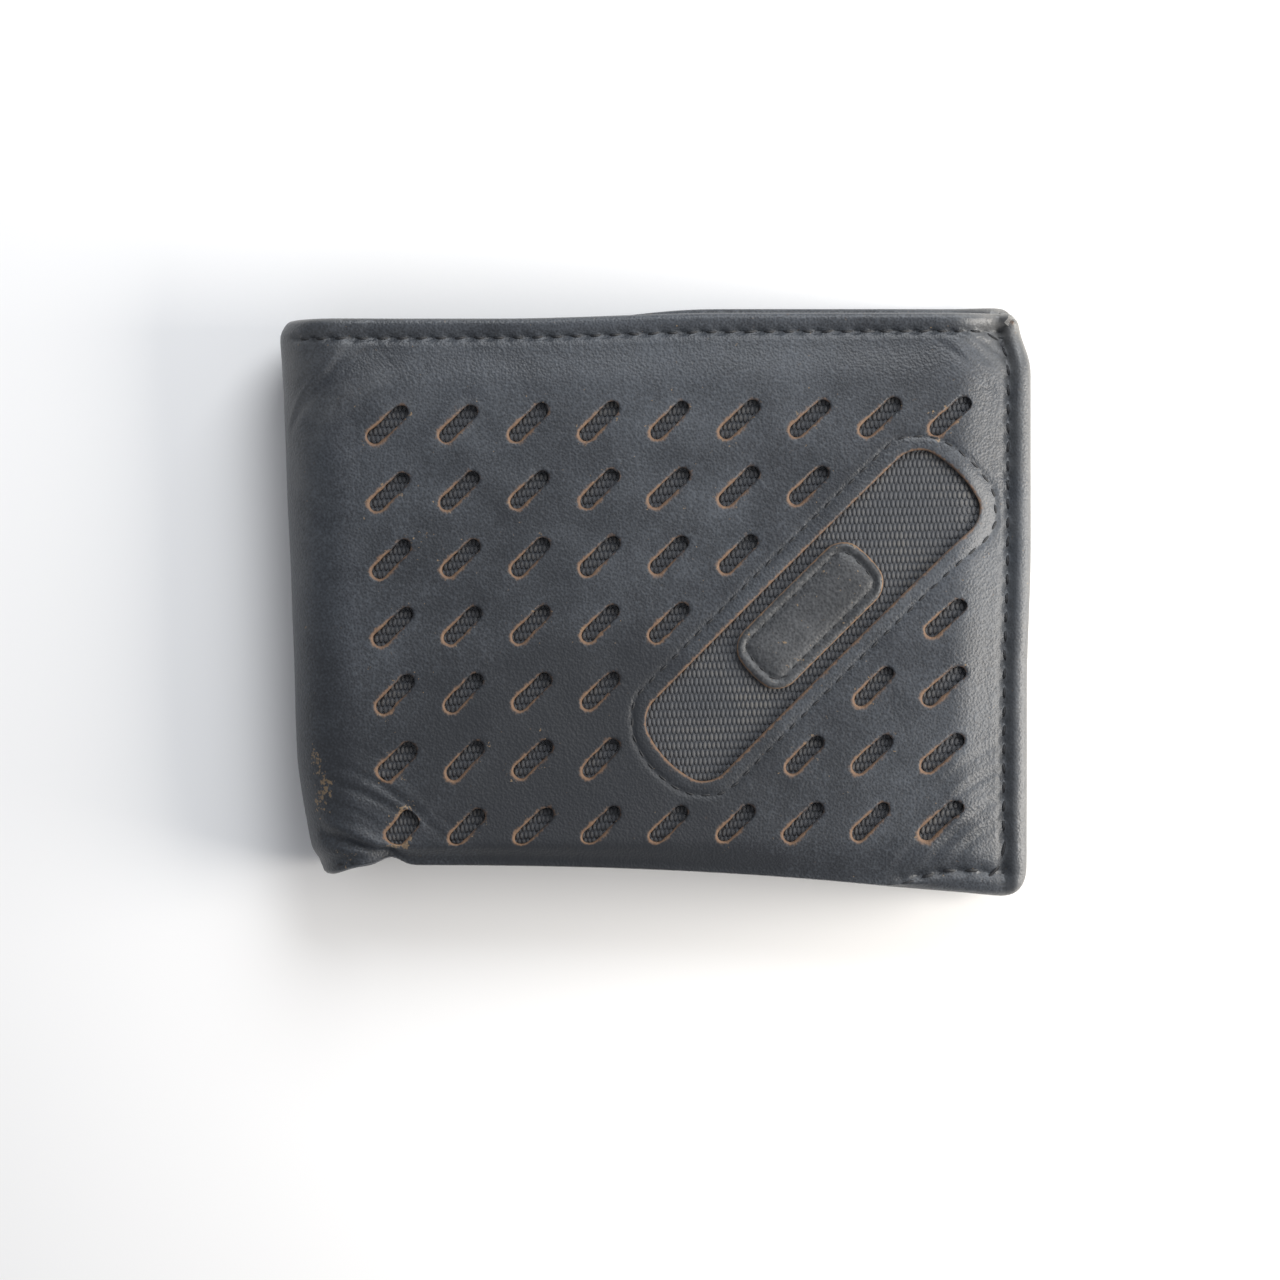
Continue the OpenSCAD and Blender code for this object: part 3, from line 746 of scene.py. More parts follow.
def sink(u, v, lines):
    """Millimetres below the flat top of a cover, 0 in the middle."""
    flat = smooth(FOLD_X - 3, FOLD_X + 7, u)
    side = SIDE_DROP * smooth(46.5, SEAM_U + 0.3, u) ** 1.3
    foot = FOOT_DROP * smooth(-37.5, -42.8, v) ** 1.6 * (0.35 + 0.65 * flat)
    corner = CORNER_DROP * smooth(77, 97, u - v) ** 1.3
    slopes = (side ** 3 + foot ** 3 + corner ** 3) ** (1 / 3)
    slopes = slopes + 0.6 * hump(np.hypot(u - 54, v - 40.6), 0, 2.6)
    head = HEAD_DROP * smooth(34, 42, v) * (0.3 + 0.7 * flat)
    roll = 1.05 * smooth(SEAM_U + 0.3, 56.2, u) - 0.5 * smooth(56.3, HALF_W, u)
    roll = roll + 0.45 * smooth(SEAM_V + 0.4, 43.8, v) * smooth(-58, -50, u)
    roll = roll - 0.9 * smooth(-43.0, -45, v) * flat
    side_seam = hump(u, SEAM_U, 0.55) * smooth(-44, -41, v) * smooth(44, 41, v) * pulled(v)
    head_seam = hump(v, SEAM_V, 0.5) * smooth(-60, -54, u) * smooth(57, 54, u) * pulled(u)
    foot_seam = hump(v, -SEAM_V, 0.5) * smooth(37, 44, u) * smooth(57, 54, u) * pulled(u)
    seams = 0.8 * (side_seam + head_seam + foot_seam)
    window = 0.26 * hump(patch_gap(u, v, WINDOW), 2.6, 0.45)
    puff = 0.4 * smooth(0.25, 1.3, (u / 58) ** 2 + (v / 45) ** 2)
    total = slopes + head - roll + seams + window + puff
    edge = smooth(58, 50, u) * smooth(45, 38, np.abs(v))
    return total + creases(u, v, lines) + (waves(u, v, COVER_PHASE) + 0.1) * edge


def tuck(v, u):
    """The lower slope of a cover bulges out over its seam: plan y for a drawn v."""
    bulge = 2.1 * smooth(-38.5, -42.6, v) - 1.9 * smooth(-42.6, -45.0, v)
    return v - bulge * smooth(50, 36, u) * smooth(-56, -46, u)


def round_fold(u, depth):
    """x and height of a layer in the upper half of the stack, which goes on round the fold."""
    turn = np.clip((FOLD_X - u) / FOLD_R, 0, math.pi / 2)
    radius = FOLD_R - depth
    return np.maximum(u, FOLD_X) - radius * np.sin(turn), FOLD_R + radius * np.cos(turn)


def on_front(u, v, depth, lines=FRONT_CREASES):
    """A point of the front cover, depth millimetres under its outer skin, round the fold too."""
    depth = depth + sink(u, v, lines)
    x, z = round_fold(u, depth)
    x, y = settle(x, tuck(v, u))
    return np.stack([x, y, z], axis=1)


def on_back(u, v, depth, lines=BACK_CREASES):
    """The same for the back cover, which lies under the stack."""
    p = on_front(u, v, depth, lines)
    p[:, 1] += 1.7 * smooth(-22, 8, u) * smooth(36, 45, v)
    p[:, 2] = STACK - p[:, 2]
    return p

# %% [markdown]
# ## Patterns that repeat
# Slots, threads and stitches are many copies of one small shape, so each is a Geometry Nodes tree.
# `Pattern` is a `Graph` with named inputs. `lay` puts the tree on a mesh, sets its inputs, and
# keeps the result as a plain mesh. A pattern is laid flat, where its rule is simple, and `bend`
# then carries every point on to the wallet with the same `place` as the leather.

# %% Pattern
class Pattern(Graph):
    KINDS = {int: "NodeSocketInt", float: "NodeSocketFloat", bpy.types.Material: "NodeSocketMaterial"}

    def __init__(self, name, **inputs):
        self.tree = bpy.data.node_groups.new(name, "GeometryNodeTree")
        face = self.tree.interface
        face.new_socket("Geometry", in_out="INPUT", socket_type="NodeSocketGeometry")
        face.new_socket("Geometry", in_out="OUTPUT", socket_type="NodeSocketGeometry")
        self.inputs = {}
        for key, value in inputs.items():
            kind = self.KINDS[type(value)]
            socket = face.new_socket(key, in_out="INPUT", socket_type=kind)
            self.inputs[key] = (socket.identifier, value)
        self.start = self.tree.nodes.new("NodeGroupInput")
        self.end = self.tree.nodes.new("NodeGroupOutput")

    def given(self, key="Geometry"):
        return Value(self, self.start.outputs[key])

    def vector(self, x, y, z=0.0):
        return self.node("ShaderNodeCombineXYZ", None, {0: x, 1: y, 2: z})

    def random(self, low, high, seed):
        sockets = {2: low, 3: high, "Seed": seed}
        return self.node("FunctionNodeRandomValue", {"data_type": "FLOAT"}, sockets, 1)

    def instances(self, points, instance, rotation, scale=None):
        sockets = {"Points": points, "Instance": instance, "Rotation": rotation}
        if scale is not None:
            sockets["Scale"] = scale
        return self.node("GeometryNodeInstanceOnPoints", None, sockets)

    def end_with(self, geometry, finish=None):
        result = self.node("GeometryNodeRealizeInstances", None, {0: geometry})
        if finish is not None:
            result = self.node("GeometryNodeSetMaterial", None, {0: result, "Material": finish})
        self.plug(self.end, 0, result)

    def lay(self, name, mesh, **changes):
        """The pattern on a mesh, as a new object with plain geometry."""
        base = bpy.data.objects.new(name + "_base", mesh)
        scene.collection.objects.link(base)
        modifier = base.modifiers.new(self.tree.name, "NODES")
        modifier.node_group = self.tree
        for key, (identifier, value) in self.inputs.items():
            modifier[identifier] = changes.get(key, value)
        result = bpy.data.meshes.new_from_object(base.evaluated_get(
            bpy.context.evaluated_depsgraph_get()))
        bpy.data.objects.remove(base)
        result.name = name
        piece = bpy.data.objects.new(name, result)
        scene.collection.objects.link(piece)
        return piece


def flat_mesh(name, points, edges=(), faces=()):
    mesh = bpy.data.meshes.new(name)
    mesh.from_pydata([(p[0], p[1], 0.0) for p in points], list(edges), list(faces))
    return mesh


def mesh_points(mesh):
    flat = np.empty(len(mesh.vertices) * 3)
    mesh.vertices.foreach_get("co", flat)
    return flat.reshape(-1, 3)


def bend(piece, place, depth, flip=False):
    """Carries a pattern laid flat, in millimetres, to its place at a depth in the wallet."""
    mesh = piece.data
    p = mesh_points(mesh)
    bent = place(p[:, 0], p[:, 1], depth - p[:, 2]) * MM
    mesh.vertices.foreach_set("co", bent.ravel())
    if flip:
        mesh.flip_normals()
    mesh.polygons.foreach_set("use_smooth", [True] * len(mesh.polygons))
    mesh.update()
    print(piece.name, len(mesh.vertices), "points")


# %% [markdown]
# ## Where the cut-outs are
# The slots stand in slanting rows, left out round a long window. A punch made each of them, so
# they are alike but never quite equal: the tree turns and scales each one a little.

# %% Perforation field
SLOT_POINTS = 40
FIELD_AT = (2.0, -3.55)      # the middle of the field


def perforation_field():
    field = Pattern("perforation_field", columns=9, rows=7, across=11.0, down=10.65,
                    slot_length=7.8, slot_width=2.3, slant=math.radians(44),
                    clear_length=34.0, clear_width=10.7, seed=4)
    given = field.given
    sockets = {"Size X": (given("columns") - 1) * given("across"),
               "Size Y": (given("rows") - 1) * given("down"),
               "Vertices X": given("columns"), "Vertices Y": given("rows")}
    grid = field.node("GeometryNodeMeshGrid", None, sockets)
    grid = field.node("GeometryNodeTransform", None,
                      {"Geometry": grid, "Translation": (*FIELD_AT, 0)})
    x, y, z = field.axes(field.node("GeometryNodeInputPosition"))
    du, dv = x - float(WINDOW_AT[0]), y - float(WINDOW_AT[1])
    along = (du * COS + dv * SIN).math("ABSOLUTE").math("LESS_THAN", given("clear_length"))
    beside = (dv * COS - du * SIN).math("ABSOLUTE").math("LESS_THAN", given("clear_width"))
    points = field.node("GeometryNodeDeleteGeometry", {"domain": "POINT"},
                        {"Geometry": grid, "Selection": along * beside})
    slot = field.node("GeometryNodeCurvePrimitiveQuadrilateral", None,
                      {"Width": given("slot_length"), "Height": given("slot_width")})
    slot = field.node("GeometryNodeFilletCurve", {"mode": "POLY"},
                        {"Curve": slot, "Count": 8, "Radius": given("slot_width") * 0.499})
    slot = field.node("GeometryNodeResampleCurve", None, {"Curve": slot, "Count": SLOT_POINTS})
    slot = field.node("GeometryNodeCurveToMesh", None, {"Curve": slot})
    turn = given("slant") + field.random(-0.03, 0.03, given("seed"))
    size = field.random(0.96, 1.04, given("seed") + 1)
    slots = field.instances(points, slot, field.vector(0.0, 0.0, turn),
                            field.vector(size, size, size))
    field.end_with(slots)
    return field


slots_object = perforation_field().lay("slots", flat_mesh("one_point", [(0, 0)]))
slot_loops = mesh_points(slots_object.data)[:, :2].reshape(-1, SLOT_POINTS, 2)
bpy.data.objects.remove(slots_object)

# In the pushed-in corner the leather is stretched and its slots gape
for loop in slot_loops:
    middle = loop.mean(axis=0)
    gape = 0.5 * hump(np.hypot(middle[0] + 43, middle[1] + 33), 0, 8)
    shorter, wider = (np.outer((loop - middle) @ axis, axis) * gape for axis in SLANT)
    loop += wider - 0.4 * shorter
print("slots:", len(slot_loops), "first middle", np.round(slot_loops[0].mean(axis=0), 1))


def ring_round(loop, gap):
    """A loop as far outside a closed loop as gap."""
    along = np.roll(loop, -1, axis=0) - np.roll(loop, 1, axis=0)
    along /= np.linalg.norm(along, axis=1)[:, None]
    x, y = loop[:, 0], loop[:, 1]
    turning = np.sign(np.sum(x * np.roll(y, -1) - np.roll(x, -1) * y))
    return loop + turning * gap * np.stack([along[:, 1], -along[:, 0]], axis=1)


def cut_rings(loop, seed):
    """The loops round one cut-out. Its edge has small nicks where the leather has frayed."""
    rng = np.random.default_rng(seed)
    nicks = 0.07 * np.convolve(rng.standard_normal(len(loop)), (0.3, 0.4, 0.3), "same")
    edge = ring_round(loop, 0) + (ring_round(loop, 1) - loop) * nicks[:, None]
    return [edge] + [ring_round(loop, gap) for gap in RING_GAPS[1:]]


window_rings = [slanted(patch_outline(WINDOW, gap)[0]) for gap in RING_GAPS]
front_holes = [cut_rings(loop, i) for i, loop in enumerate(slot_loops)] + [window_rings]

# %% [markdown]
# ## The two covers
# The front cover and its half of the fold are one piece of leather, which bends from the spine to
# the front leaf. The back cover is the same without cut-outs. They meet at the middle of the fold.

# %% Front and back cover
# How far from a seam's line its extra points lie, and from the edge seam's, out to the rim
SEAM_ROW = (-0.9, -0.5, -0.2, 0.1, 0.4, 0.8)
RIM_ROW = SEAM_ROW + (1.15, 1.5, 1.9, 2.3)
COVER_CORNER = (3.6, 2.3)


def seam_dots(path, step=0.5, row=SEAM_ROW):
    """Rows of extra points along a seam, so that its groove can be shaped."""
    dots = []
    for a, b in zip(path[:-1], path[1:]):
        a, b = np.array(a, float), np.array(b, float)
        if np.linalg.norm(b - a) < 1e-6:
            continue
        along = (b - a) / np.linalg.norm(b - a)
        beside = np.array((-along[1], along[0]))
        for p in run(a, b, step):
            dots += [p + beside * off for off in row]
    return dots


def dot_grid(u0, v0, u1, v1, step):
    """Extra points over a rectangle, in staggered rows."""
    dots = []
    for j, v in enumerate(np.arange(v0, v1, step * ROW_STEP)):
        dots += [np.array((u + 0.5 * step * (j % 2), v)) for u in np.arange(u0, u1, step)]
    return dots


def sparse(dots, loops, gap):
    """The dots that keep their distance from each other and from all the loops."""
    tree = kdtree.KDTree(sum(len(loop) for loop in loops))
    for loop in loops:
        for p in loop:
            tree.insert((p[0], p[1], 0), 0)
    tree.balance()
    cells, kept = set(), []
    for p in dots:
        cell = (round(p[0] / gap), round(p[1] / gap))
        if cell in cells or tree.find((p[0], p[1], 0))[2] < gap:
            continue
        cells.add(cell)
        kept.append(p)
    return kept


def closed(points):
    return np.vstack([points, points[:1]])


def tie(piece, move, slot, *nodes):
    """Says how a piece moves and hides the CAD nodes it stands for. slot, the material slot it would
    fill, is not used.
    move is a body, which the piece is attached to, or two bodies and two places, which are not used:
    such a piece only has its transform baked."""
    if isinstance(move, str):
        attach(piece, move)
    else:
        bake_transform(piece)
    if nodes:
        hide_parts(*nodes)


# A height above and below the middle of the fold, for the places given with each half of a piece
BEND = 6.5
FOLD_MIDDLE = ((FOLD_X - 4) * MM, 0, FOLD_R * MM)
FRONT_START = ((FOLD_X - 1) * MM, 0, (FOLD_R + BEND) * MM)
BACK_END = ((FOLD_X - 1) * MM, 0, (FOLD_R - BEND) * MM)
FRONT_HALF = ("spine", "front_leaf", FOLD_MIDDLE, FRONT_START)
BACK_HALF = ("back_leaf", "spine", BACK_END, FOLD_MIDDLE)

window_seam = closed(slanted(patch_outline(WINDOW, 2.6, step=1.0)[0]))
edge_seam = [(-58, SEAM_V), (SEAM_U, SEAM_V), (SEAM_U, -SEAM_V), (-58, -SEAM_V)]
cover_outline = rounded_outline(SPINE_U, HALF_W, -HALF_H, HALF_H, COVER_CORNER, step=0.9, cut=HEM_W)
border = [cover_outline[0] - 0.8 * cover_outline[1]]
border.append(cover_outline[0] - (HEM_W + 0.5) * cover_outline[1])

detail = seam_dots(edge_seam, 0.5, RIM_ROW) + seam_dots(window_seam)
detail += dot_grid(-62, 22, -38, 42, 0.5) + dot_grid(-62, -44, -42, -28, 0.5)
detail += dot_grid(38, -43, 57, -24, 0.55) + dot_grid(46, 30, 57, 43, 0.55)
front_loops = border + [loop for rings in front_holes for loop in rings]
front_dots = sparse(detail, front_loops, 0.3)
back_dots = sparse(seam_dots(edge_seam, 0.5, RIM_ROW) + dot_grid(-62, 22, -38, 42, 0.6), border, 0.3)

slot_edges = kdtree.KDTree(slot_loops.shape[0] * SLOT_POINTS)
for i, p in enumerate(slot_loops.reshape(-1, 2)):
    slot_edges.insert((p[0], p[1], 0), i)
slot_edges.balance()
# Where crumbs of tan leather gather: x, y, how wide and how much
STAINS = ((-55, -24, 1.8, 2.4), (-54, -28.5, 1.8, 2.4), (-55.5, -31.5, 1.7, 2.4),
          (-42.5, -38.5, 1.7, 2.4), (-42, -33, 1.2, 2), (-52, -41, 2, 1.2), (-36, 9, 2.5, 1.1),
          (-45, 12, 2, 1.1), (13, 24, 2, 1.2))


def cover_wear_and_shade(u, v):
    """Where the dye is rubbed, where chips and crumbs of tan leather gather, and painted shade and
    light: the lower middle darker, partly as dirt, and the upper left lighter.
    """
    free = 0.5 * smooth(46, 56, u) + 0.3 * smooth(30, 45, v) * smooth(30, 55, u)
    fold = 0.2 * smooth(-50, -58, u) + 0.15 * smooth(-42, -54, u) * smooth(-15, 5, v)
    window = 0.2 * hump(patch_gap(u, v, WINDOW), 1.2, 1.2)
    # Painted light: the upper left is made lighter, where the lamp near the top lights it more
    upper_left_painted_light = 0.2 * smooth(5, 35, v) * smooth(5, -30, u)
    # Painted shade, partly dirt: the lower middle is made darker, for the light's fall-off towards the
    # bottom
    lower = 1.15 * smooth(6, -30, v) * hump(u, -10, 32)
    corner = 0.75 * hump(np.hypot(u - 56.8, v - 43.4), 0, 0.7)
    gap = np.array([slot_edges.find((a, b, 0))[2] for a, b in zip(u, v)])
    crumb = 0.4 * smooth(2.2, 0.3, gap)
    for x, y, wide, much in STAINS:
        crumb = crumb + much * hump(np.hypot(u - x, v - y), 0, wide)
    return {"raw": corner, "rub": free + fold + window + upper_left_painted_light - lower, "crumb": crumb}


front_cover = leather_sheet("front_leather", cover_outline, on_front, LEATHER, cover_leather,
                            edge=0.8, hem=HEM_W, spacing=0.85, holes=front_holes,
                            dots=front_dots, wear=cover_wear_and_shade)
back_cover = leather_sheet("back_leather", cover_outline, on_back, LEATHER, cover_leather,
                           edge=0.8, hem=HEM_W, spacing=0.95, dots=back_dots, flip=True,
                           wear=cover_wear_and_shade)
tie(front_cover, FRONT_HALF, "cover_leather", "front_cover", "spine_cover")
tie(back_cover, BACK_HALF, "cover_leather", "back_cover")

# %% [markdown]
# ## The woven nylon behind the cut-outs
# Ballistic nylon is a plain weave of thick threads: each warp thread rides over one weft thread and
# dives under the next. What one sees is rows of short humps, every other row shifted by half a
# step, so that is what we lay, on a thin base. Only the places that show through a cut-out get
# humps: a ray down to a flat pattern of the cut-outs decides which.

# %% Weave
def woven_threads():
    weave = Pattern("woven_threads", warp_pitch=0.36, weft_pitch=1.26, warp_half=0.34, rise=0.13,
                    columns=284, rows=34, seed=9, material=woven_nylon)
    given = weave.given
    pitch_x, pitch_y = given("warp_pitch"), given("weft_pitch") * 2
    columns, rows = given("columns"), given("rows")
    grid = weave.node("GeometryNodeMeshGrid", None,
                      {"Size X": (columns - 1) * pitch_x, "Size Y": (rows - 1) * pitch_y,
                       "Vertices X": columns, "Vertices Y": rows})
    corner = weave.vector((columns - 1) * pitch_x * 0.5, (rows - 1) * pitch_y * 0.5)
    grid = weave.node("GeometryNodeTransform", None, {"Geometry": grid, "Translation": corner})
    x, y, z = weave.axes(weave.node("GeometryNodeInputPosition"))
    every_other = (x / pitch_x).math("PINGPONG", 1.0)
    shift = weave.vector(-48.0, every_other * given("weft_pitch") - 42.0)
    points = weave.node("GeometryNodeSetPosition", None, {"Geometry": grid, "Offset": shift})

    above = weave.node("ShaderNodeVectorMath", {"operation": "ADD"},
                       {0: weave.node("GeometryNodeInputPosition"), 1: (0, 0, 1)})
    hit = weave.node("GeometryNodeRaycast", None,
                     {"Target Geometry": given(), "Source Position": above,
                      "Ray Direction": (0, 0, -1), "Ray Length": 2.0})
    points = weave.node("GeometryNodeDeleteGeometry", {"domain": "POINT"},
                        {"Geometry": points, "Selection": 1 - hit})

    thread = weave.node("GeometryNodeMeshUVSphere", None,
                        {"Radius": 1.0, "Segments": 8, "Rings": 4})
    height = weave.axes(weave.node("GeometryNodeInputPosition"))[2]
    thread = weave.node("GeometryNodeStoreNamedAttribute", None,
                        {"Geometry": thread, "Name": "high", "Value": height * 0.8})
    turn = weave.random(-0.12, 0.12, given("seed"))
    size = weave.random(0.86, 1.08, given("seed") + 3)
    scale = weave.vector(size * given("warp_half"), size * given("weft_pitch") * 0.56,
                         size * given("rise"))
    weave.end_with(weave.instances(points, thread, weave.vector(0.0, 0.0, turn), scale),
                   given("material"))
    return weave


shown = [ring_round(loop, 0.55) for loop in slot_loops]
shown.append(slanted(patch_outline(WINDOW, 0.6)[0]))
ends = np.cumsum([0] + [len(loop) for loop in shown])
shown_faces = [tuple(range(a, b)) for a, b in zip(ends[:-1], ends[1:])]
weave = woven_threads().lay("woven_threads", flat_mesh("shown", np.vstack(shown), [], shown_faces))
bend(weave, on_front, LEATHER + 0.12)

backing_low, backing_high = node_box("woven_backing")
backing_outline = rounded_outline(backing_low[0], backing_high[0] + 3, backing_low[1] - 1.5,
                                  backing_high[1] + 1, 2)
backing = leather_sheet("nylon_backing", backing_outline,
                        lambda u, v, d: on_front(u, v, d + LEATHER + 0.17), 0.5, woven_nylon,
                        edge=0.2, spacing=1.8)
tie(weave, "front_leaf", "ballistic_nylon")
tie(backing, "front_leaf", "ballistic_nylon", "woven_backing")

# %% [markdown]
# ## Badge and seams
# The badge is a rounded patch sewn on the nylon. A stitch is a short arch of thread whose ends
# dive into the leather: the tree sets one on every step of a line, turned along it.

# %% Badge
def on_badge(u, v, depth):
    gap = patch_gap(u, v, BADGE)
    groove = 0.3 * hump(gap, -1.7, 0.42)
    swell = 0.3 * smooth(-1.2, -4.5, gap) + 0.12 * hump(gap, -0.8, 0.5)
    return on_front(u, v, depth + 0.12 + groove - swell + 0.12 * smooth(-0.6, 0, gap))


badge_points, badge_outs = patch_outline(BADGE, step=0.4)
badge_points, badge_outs = slanted(badge_points), badge_outs @ SLANT
badge_seam = closed(slanted(patch_outline(BADGE, -1.7, step=0.6)[0]))
badge_dots = sparse(seam_dots(badge_seam, 0.4), [badge_points], 0.25)
badge = leather_sheet("badge_leather", (badge_points, badge_outs), on_badge, 1.1, badge_leather,
                      edge=0.4, spacing=0.5, dots=badge_dots, edge_raw=0.9, edge_rub=0.9)
tie(badge, "front_leaf", "badge_leather", "badge")


# %% Stitches
def stitch_line():
    line = Pattern("stitch_line", pitch=EDGE_PITCH, stitch_length=2.4, thread=0.2, arch=0.12, dip=0.4,
                   seed=2, material=waxed_thread)
    given = line.given
    curve = line.node("GeometryNodeMeshToCurve", None, {"Mesh": given()})
    curve = line.node("GeometryNodeResampleCurve", {"mode": "LENGTH"},
                      {"Curve": curve, "Length": given("pitch")})
    half = given("stitch_length") * 0.5
    arch = line.node("GeometryNodeCurveQuadraticBezier", None,
                     {"Resolution": 6, "Start": line.vector(half * -1, 0.0, given("dip") * -1),
                      "Middle": line.vector(0.0, 0.0, given("arch") + given("dip")),
                      "End": line.vector(half, 0.0, given("dip") * -1)})
    circle = line.node("GeometryNodeCurvePrimitiveCircle", None,
                       {"Resolution": 7, "Radius": given("thread")})
    arch = line.node("GeometryNodeCurveToMesh", None,
                     {"Curve": arch, "Profile Curve": circle, "Fill Caps": True})
    turn = line.node("FunctionNodeAlignRotationToVector", {"axis": "X", "pivot_axis": "Z"},
                     {"Vector": line.node("GeometryNodeInputTangent")})
    skew = line.node("FunctionNodeEulerToRotation", None,
                     {0: line.vector(0.0, 0.0, line.random(-0.12, 0.12, given("seed")))})
    turn = line.node("FunctionNodeRotateRotation", None, {"Rotation": turn, "Rotate By": skew})
    line.end_with(line.instances(curve, arch, turn), given("material"))
    return line


stitches = stitch_line()


FINE = {"thread": 0.16, "stitch_length": 2.0, "arch": 0.1, "dip": 0.3}


def seam(name, move, nodes, paths, place, flip=False, **changes):
    """Stitches along lines drawn flat. A path that ends where it starts is closed."""
    points, edges = [], []
    for path in paths:
        first = len(points)
        for a, b in zip(path[:-1], path[1:]):
            points += run(a, b, 1.0)
        if np.linalg.norm(np.array(path[0]) - path[-1]) < 1e-6:
            edges.append((len(points) - 1, first))
        else:
            points.append(path[-1])
        edges += [(i, i + 1) for i in range(first, len(points) - 1)]
    piece = stitches.lay(name, flat_mesh(name + "_line", points, edges), **changes)
    bend(piece, place, 0.0, flip)
    tie(piece, move, "thread", *nodes)


def corner_turn(radius):
    return [(SEAM_U - radius + radius * math.sin(t), SEAM_V - radius + radius * math.cos(t))
            for t in np.linspace(0, math.pi / 2, 6)]


# Along the foot, the stitches left of x = 38 are hidden under the bulging leather
seam_path = [(-54.5, SEAM_V)] + corner_turn(3.6) + [(x, -y) for x, y in corner_turn(1.6)[::-1]]
seam_path += [(46, -SEAM_V), (38, -43.4), (-54.5, -43.4)]
seam("front_seam", FRONT_HALF, ["front_stitches"], [seam_path], on_front)
seam("back_seam", BACK_HALF, ["back_stitches"], [seam_path], on_back, flip=True)
seam("window_seam", "front_leaf", ["window_stitches"], [window_seam], on_front, pitch=2.6,
     stitch_length=1.9, thread=0.17, arch=0.08, dip=0.3)
seam("badge_seam", "front_leaf", ["badge_stitches"], [badge_seam], on_badge, pitch=2.3,
     stitch_length=1.8, thread=0.13, arch=0.06, dip=0.3)

# %% [markdown]
# ## Boards, linings and the note compartment
# Between the leather and the notes lie a stiff board and a thin nylon lining. The lining and the
# leather wall of the note compartment both run through the fold, so each is made like the cover:
# two halves that meet at the middle of the fold and bend with it.

# %% Boards, linings and walls
def lining_depth(u, v):
    """The lining lies on the board, and drops on to the hem outside it."""
    return 2.08 + 0.42 * smooth(55, 50, u) * smooth(43, 38, np.abs(v))


def under(cover, start):
    """Places a layer under a cover, start(u, v) millimetres below its skin and without creases."""
    return lambda u, v, depth: cover(u, v, depth + start(u, v), [])


WALL_DEPTH = 4.3


def wall_front(u, v, depth):
    """The inner layers lie flat in the stack and only follow the cover's plan up and down."""
    x, z = round_fold(u, depth + WALL_DEPTH + 0.07 * waves(u, v, 2.0))
    x, y = settle(x, v, smooth(-20, -45, x))
    return np.stack([x, y, z], axis=1)


def wall_back(u, v, depth):
    p = wall_front(u, v, depth)
    p[:, 2] = STACK - p[:, 2]
    return p


LINING = 0.28
lining_outline = rounded_outline(SPINE_U, 56.2, -43.2, 43.2, 2.5, step=1.4, cut=0.3)
wall_outline = rounded_outline(SPINE_U, 56.6, -43.4, 41, 2.5, step=1.4, cut=0.3)
board_low, board_high = node_box("front_board")
board_outline = rounded_outline(board_low[0], board_high[0], board_low[1], board_high[1], 1.5,
                                step=1.5)
board_front = under(on_front, lambda u, v: LEATHER + 0.7)
board_back = under(on_back, lambda u, v: LEATHER + 0.02)
LAYERS = (
    ("front_lining_nylon", lining_outline, under(on_front, lining_depth), LINING, fine_nylon,
     "lining_nylon", ("front_lining", "spine_lining")),
    ("back_lining_nylon", lining_outline, under(on_back, lining_depth), LINING, fine_nylon,
     "lining_nylon", ("back_lining",)),
    ("front_wall_leather", wall_outline, wall_front, 0.55, inner_leather,
     "lining_leather", ("front_wall", "spine_wall")),
    ("back_wall_leather", wall_outline, wall_back, 0.55, inner_leather,
     "lining_leather", ("back_wall",)),
    ("front_fibre_board", board_outline, board_front, 0.55, fibre_board, "board", ("front_board",)),
    ("back_fibre_board", board_outline, board_back, 1.2, fibre_board, "board", ("back_board",)),
)
for name, outline, place, thick, finish, slot, nodes in LAYERS:
    back = "back" in name
    layer = leather_sheet(name, outline, place, thick, finish, edge=thick * 0.4, spacing=2.0,
                          flip=back)
    if slot == "board":
        move = "back_leaf" if back else "front_leaf"
    else:
        move = BACK_HALF if back else FRONT_HALF
    tie(layer, move, slot, *nodes)

# %% [markdown]
# ## Pockets
# Inside, every pocket is a sheet of thin leather whose head is a folded edge with a creased line
# under it. `panel` makes one from the box of its CAD node, so that it lies exactly in its layer.

# %% Pocket panels
def flat_place(face, up, phase, crease_at):
    """Places a flat layer: face is the height of its visible side, up is 1 or -1."""
    def place(u, v, depth):
        depth = depth + 0.05 + 0.3 * waves(u, v, phase) * smooth(58, 50, np.abs(u))
        if crease_at is not None:
            depth = depth + 0.16 * hump(v, crease_at, 0.4)
        return standing(u, v, face - up * depth)
    return place


def panel(node, body, up, phase, corner=2.0, finish=inner_leather, slot="lining_leather",
          crease=True, spacing=1.6, holes=(), thin=0.08):
    """A flat layer from the box of its node. Gives its place function and that box."""
    low, high = node_box(node)
    face = high[2] if up > 0 else low[2]
    thick = high[2] - low[2] - thin
    crease_at = high[1] - 2.2 if crease else None
    place = flat_place(face, up, phase, crease_at)
    outline = rounded_outline(low[0], high[0], low[1], high[1], corner, step=1.2)
    dots = []
    if crease:
        dots = seam_dots([(low[0] + 1, crease_at), (high[0] - 1, crease_at)], 1.4)
    dots = sparse(dots, [outline[0]] + [loop for rings in holes for loop in rings], 0.3)
    piece = leather_sheet(node + "_sheet", outline, place, thick, finish, edge=thick * 0.45,
                          spacing=spacing, holes=holes, dots=dots, flip=up < 0, edge_rub=0.8)
    tie(piece, body, slot, node)
    return place, low, high


def on_steps(base, pockets):
    """Places stitches on whichever pocket is uppermost there, or on the base."""
    def place(u, v, depth):
        p = base(u, v, depth)
        for on_pocket, low, high in pockets:
            on_it = v < high[1]
            p[on_it, 2] = on_pocket(u, v, depth)[on_it, 2]
        return p
    return place


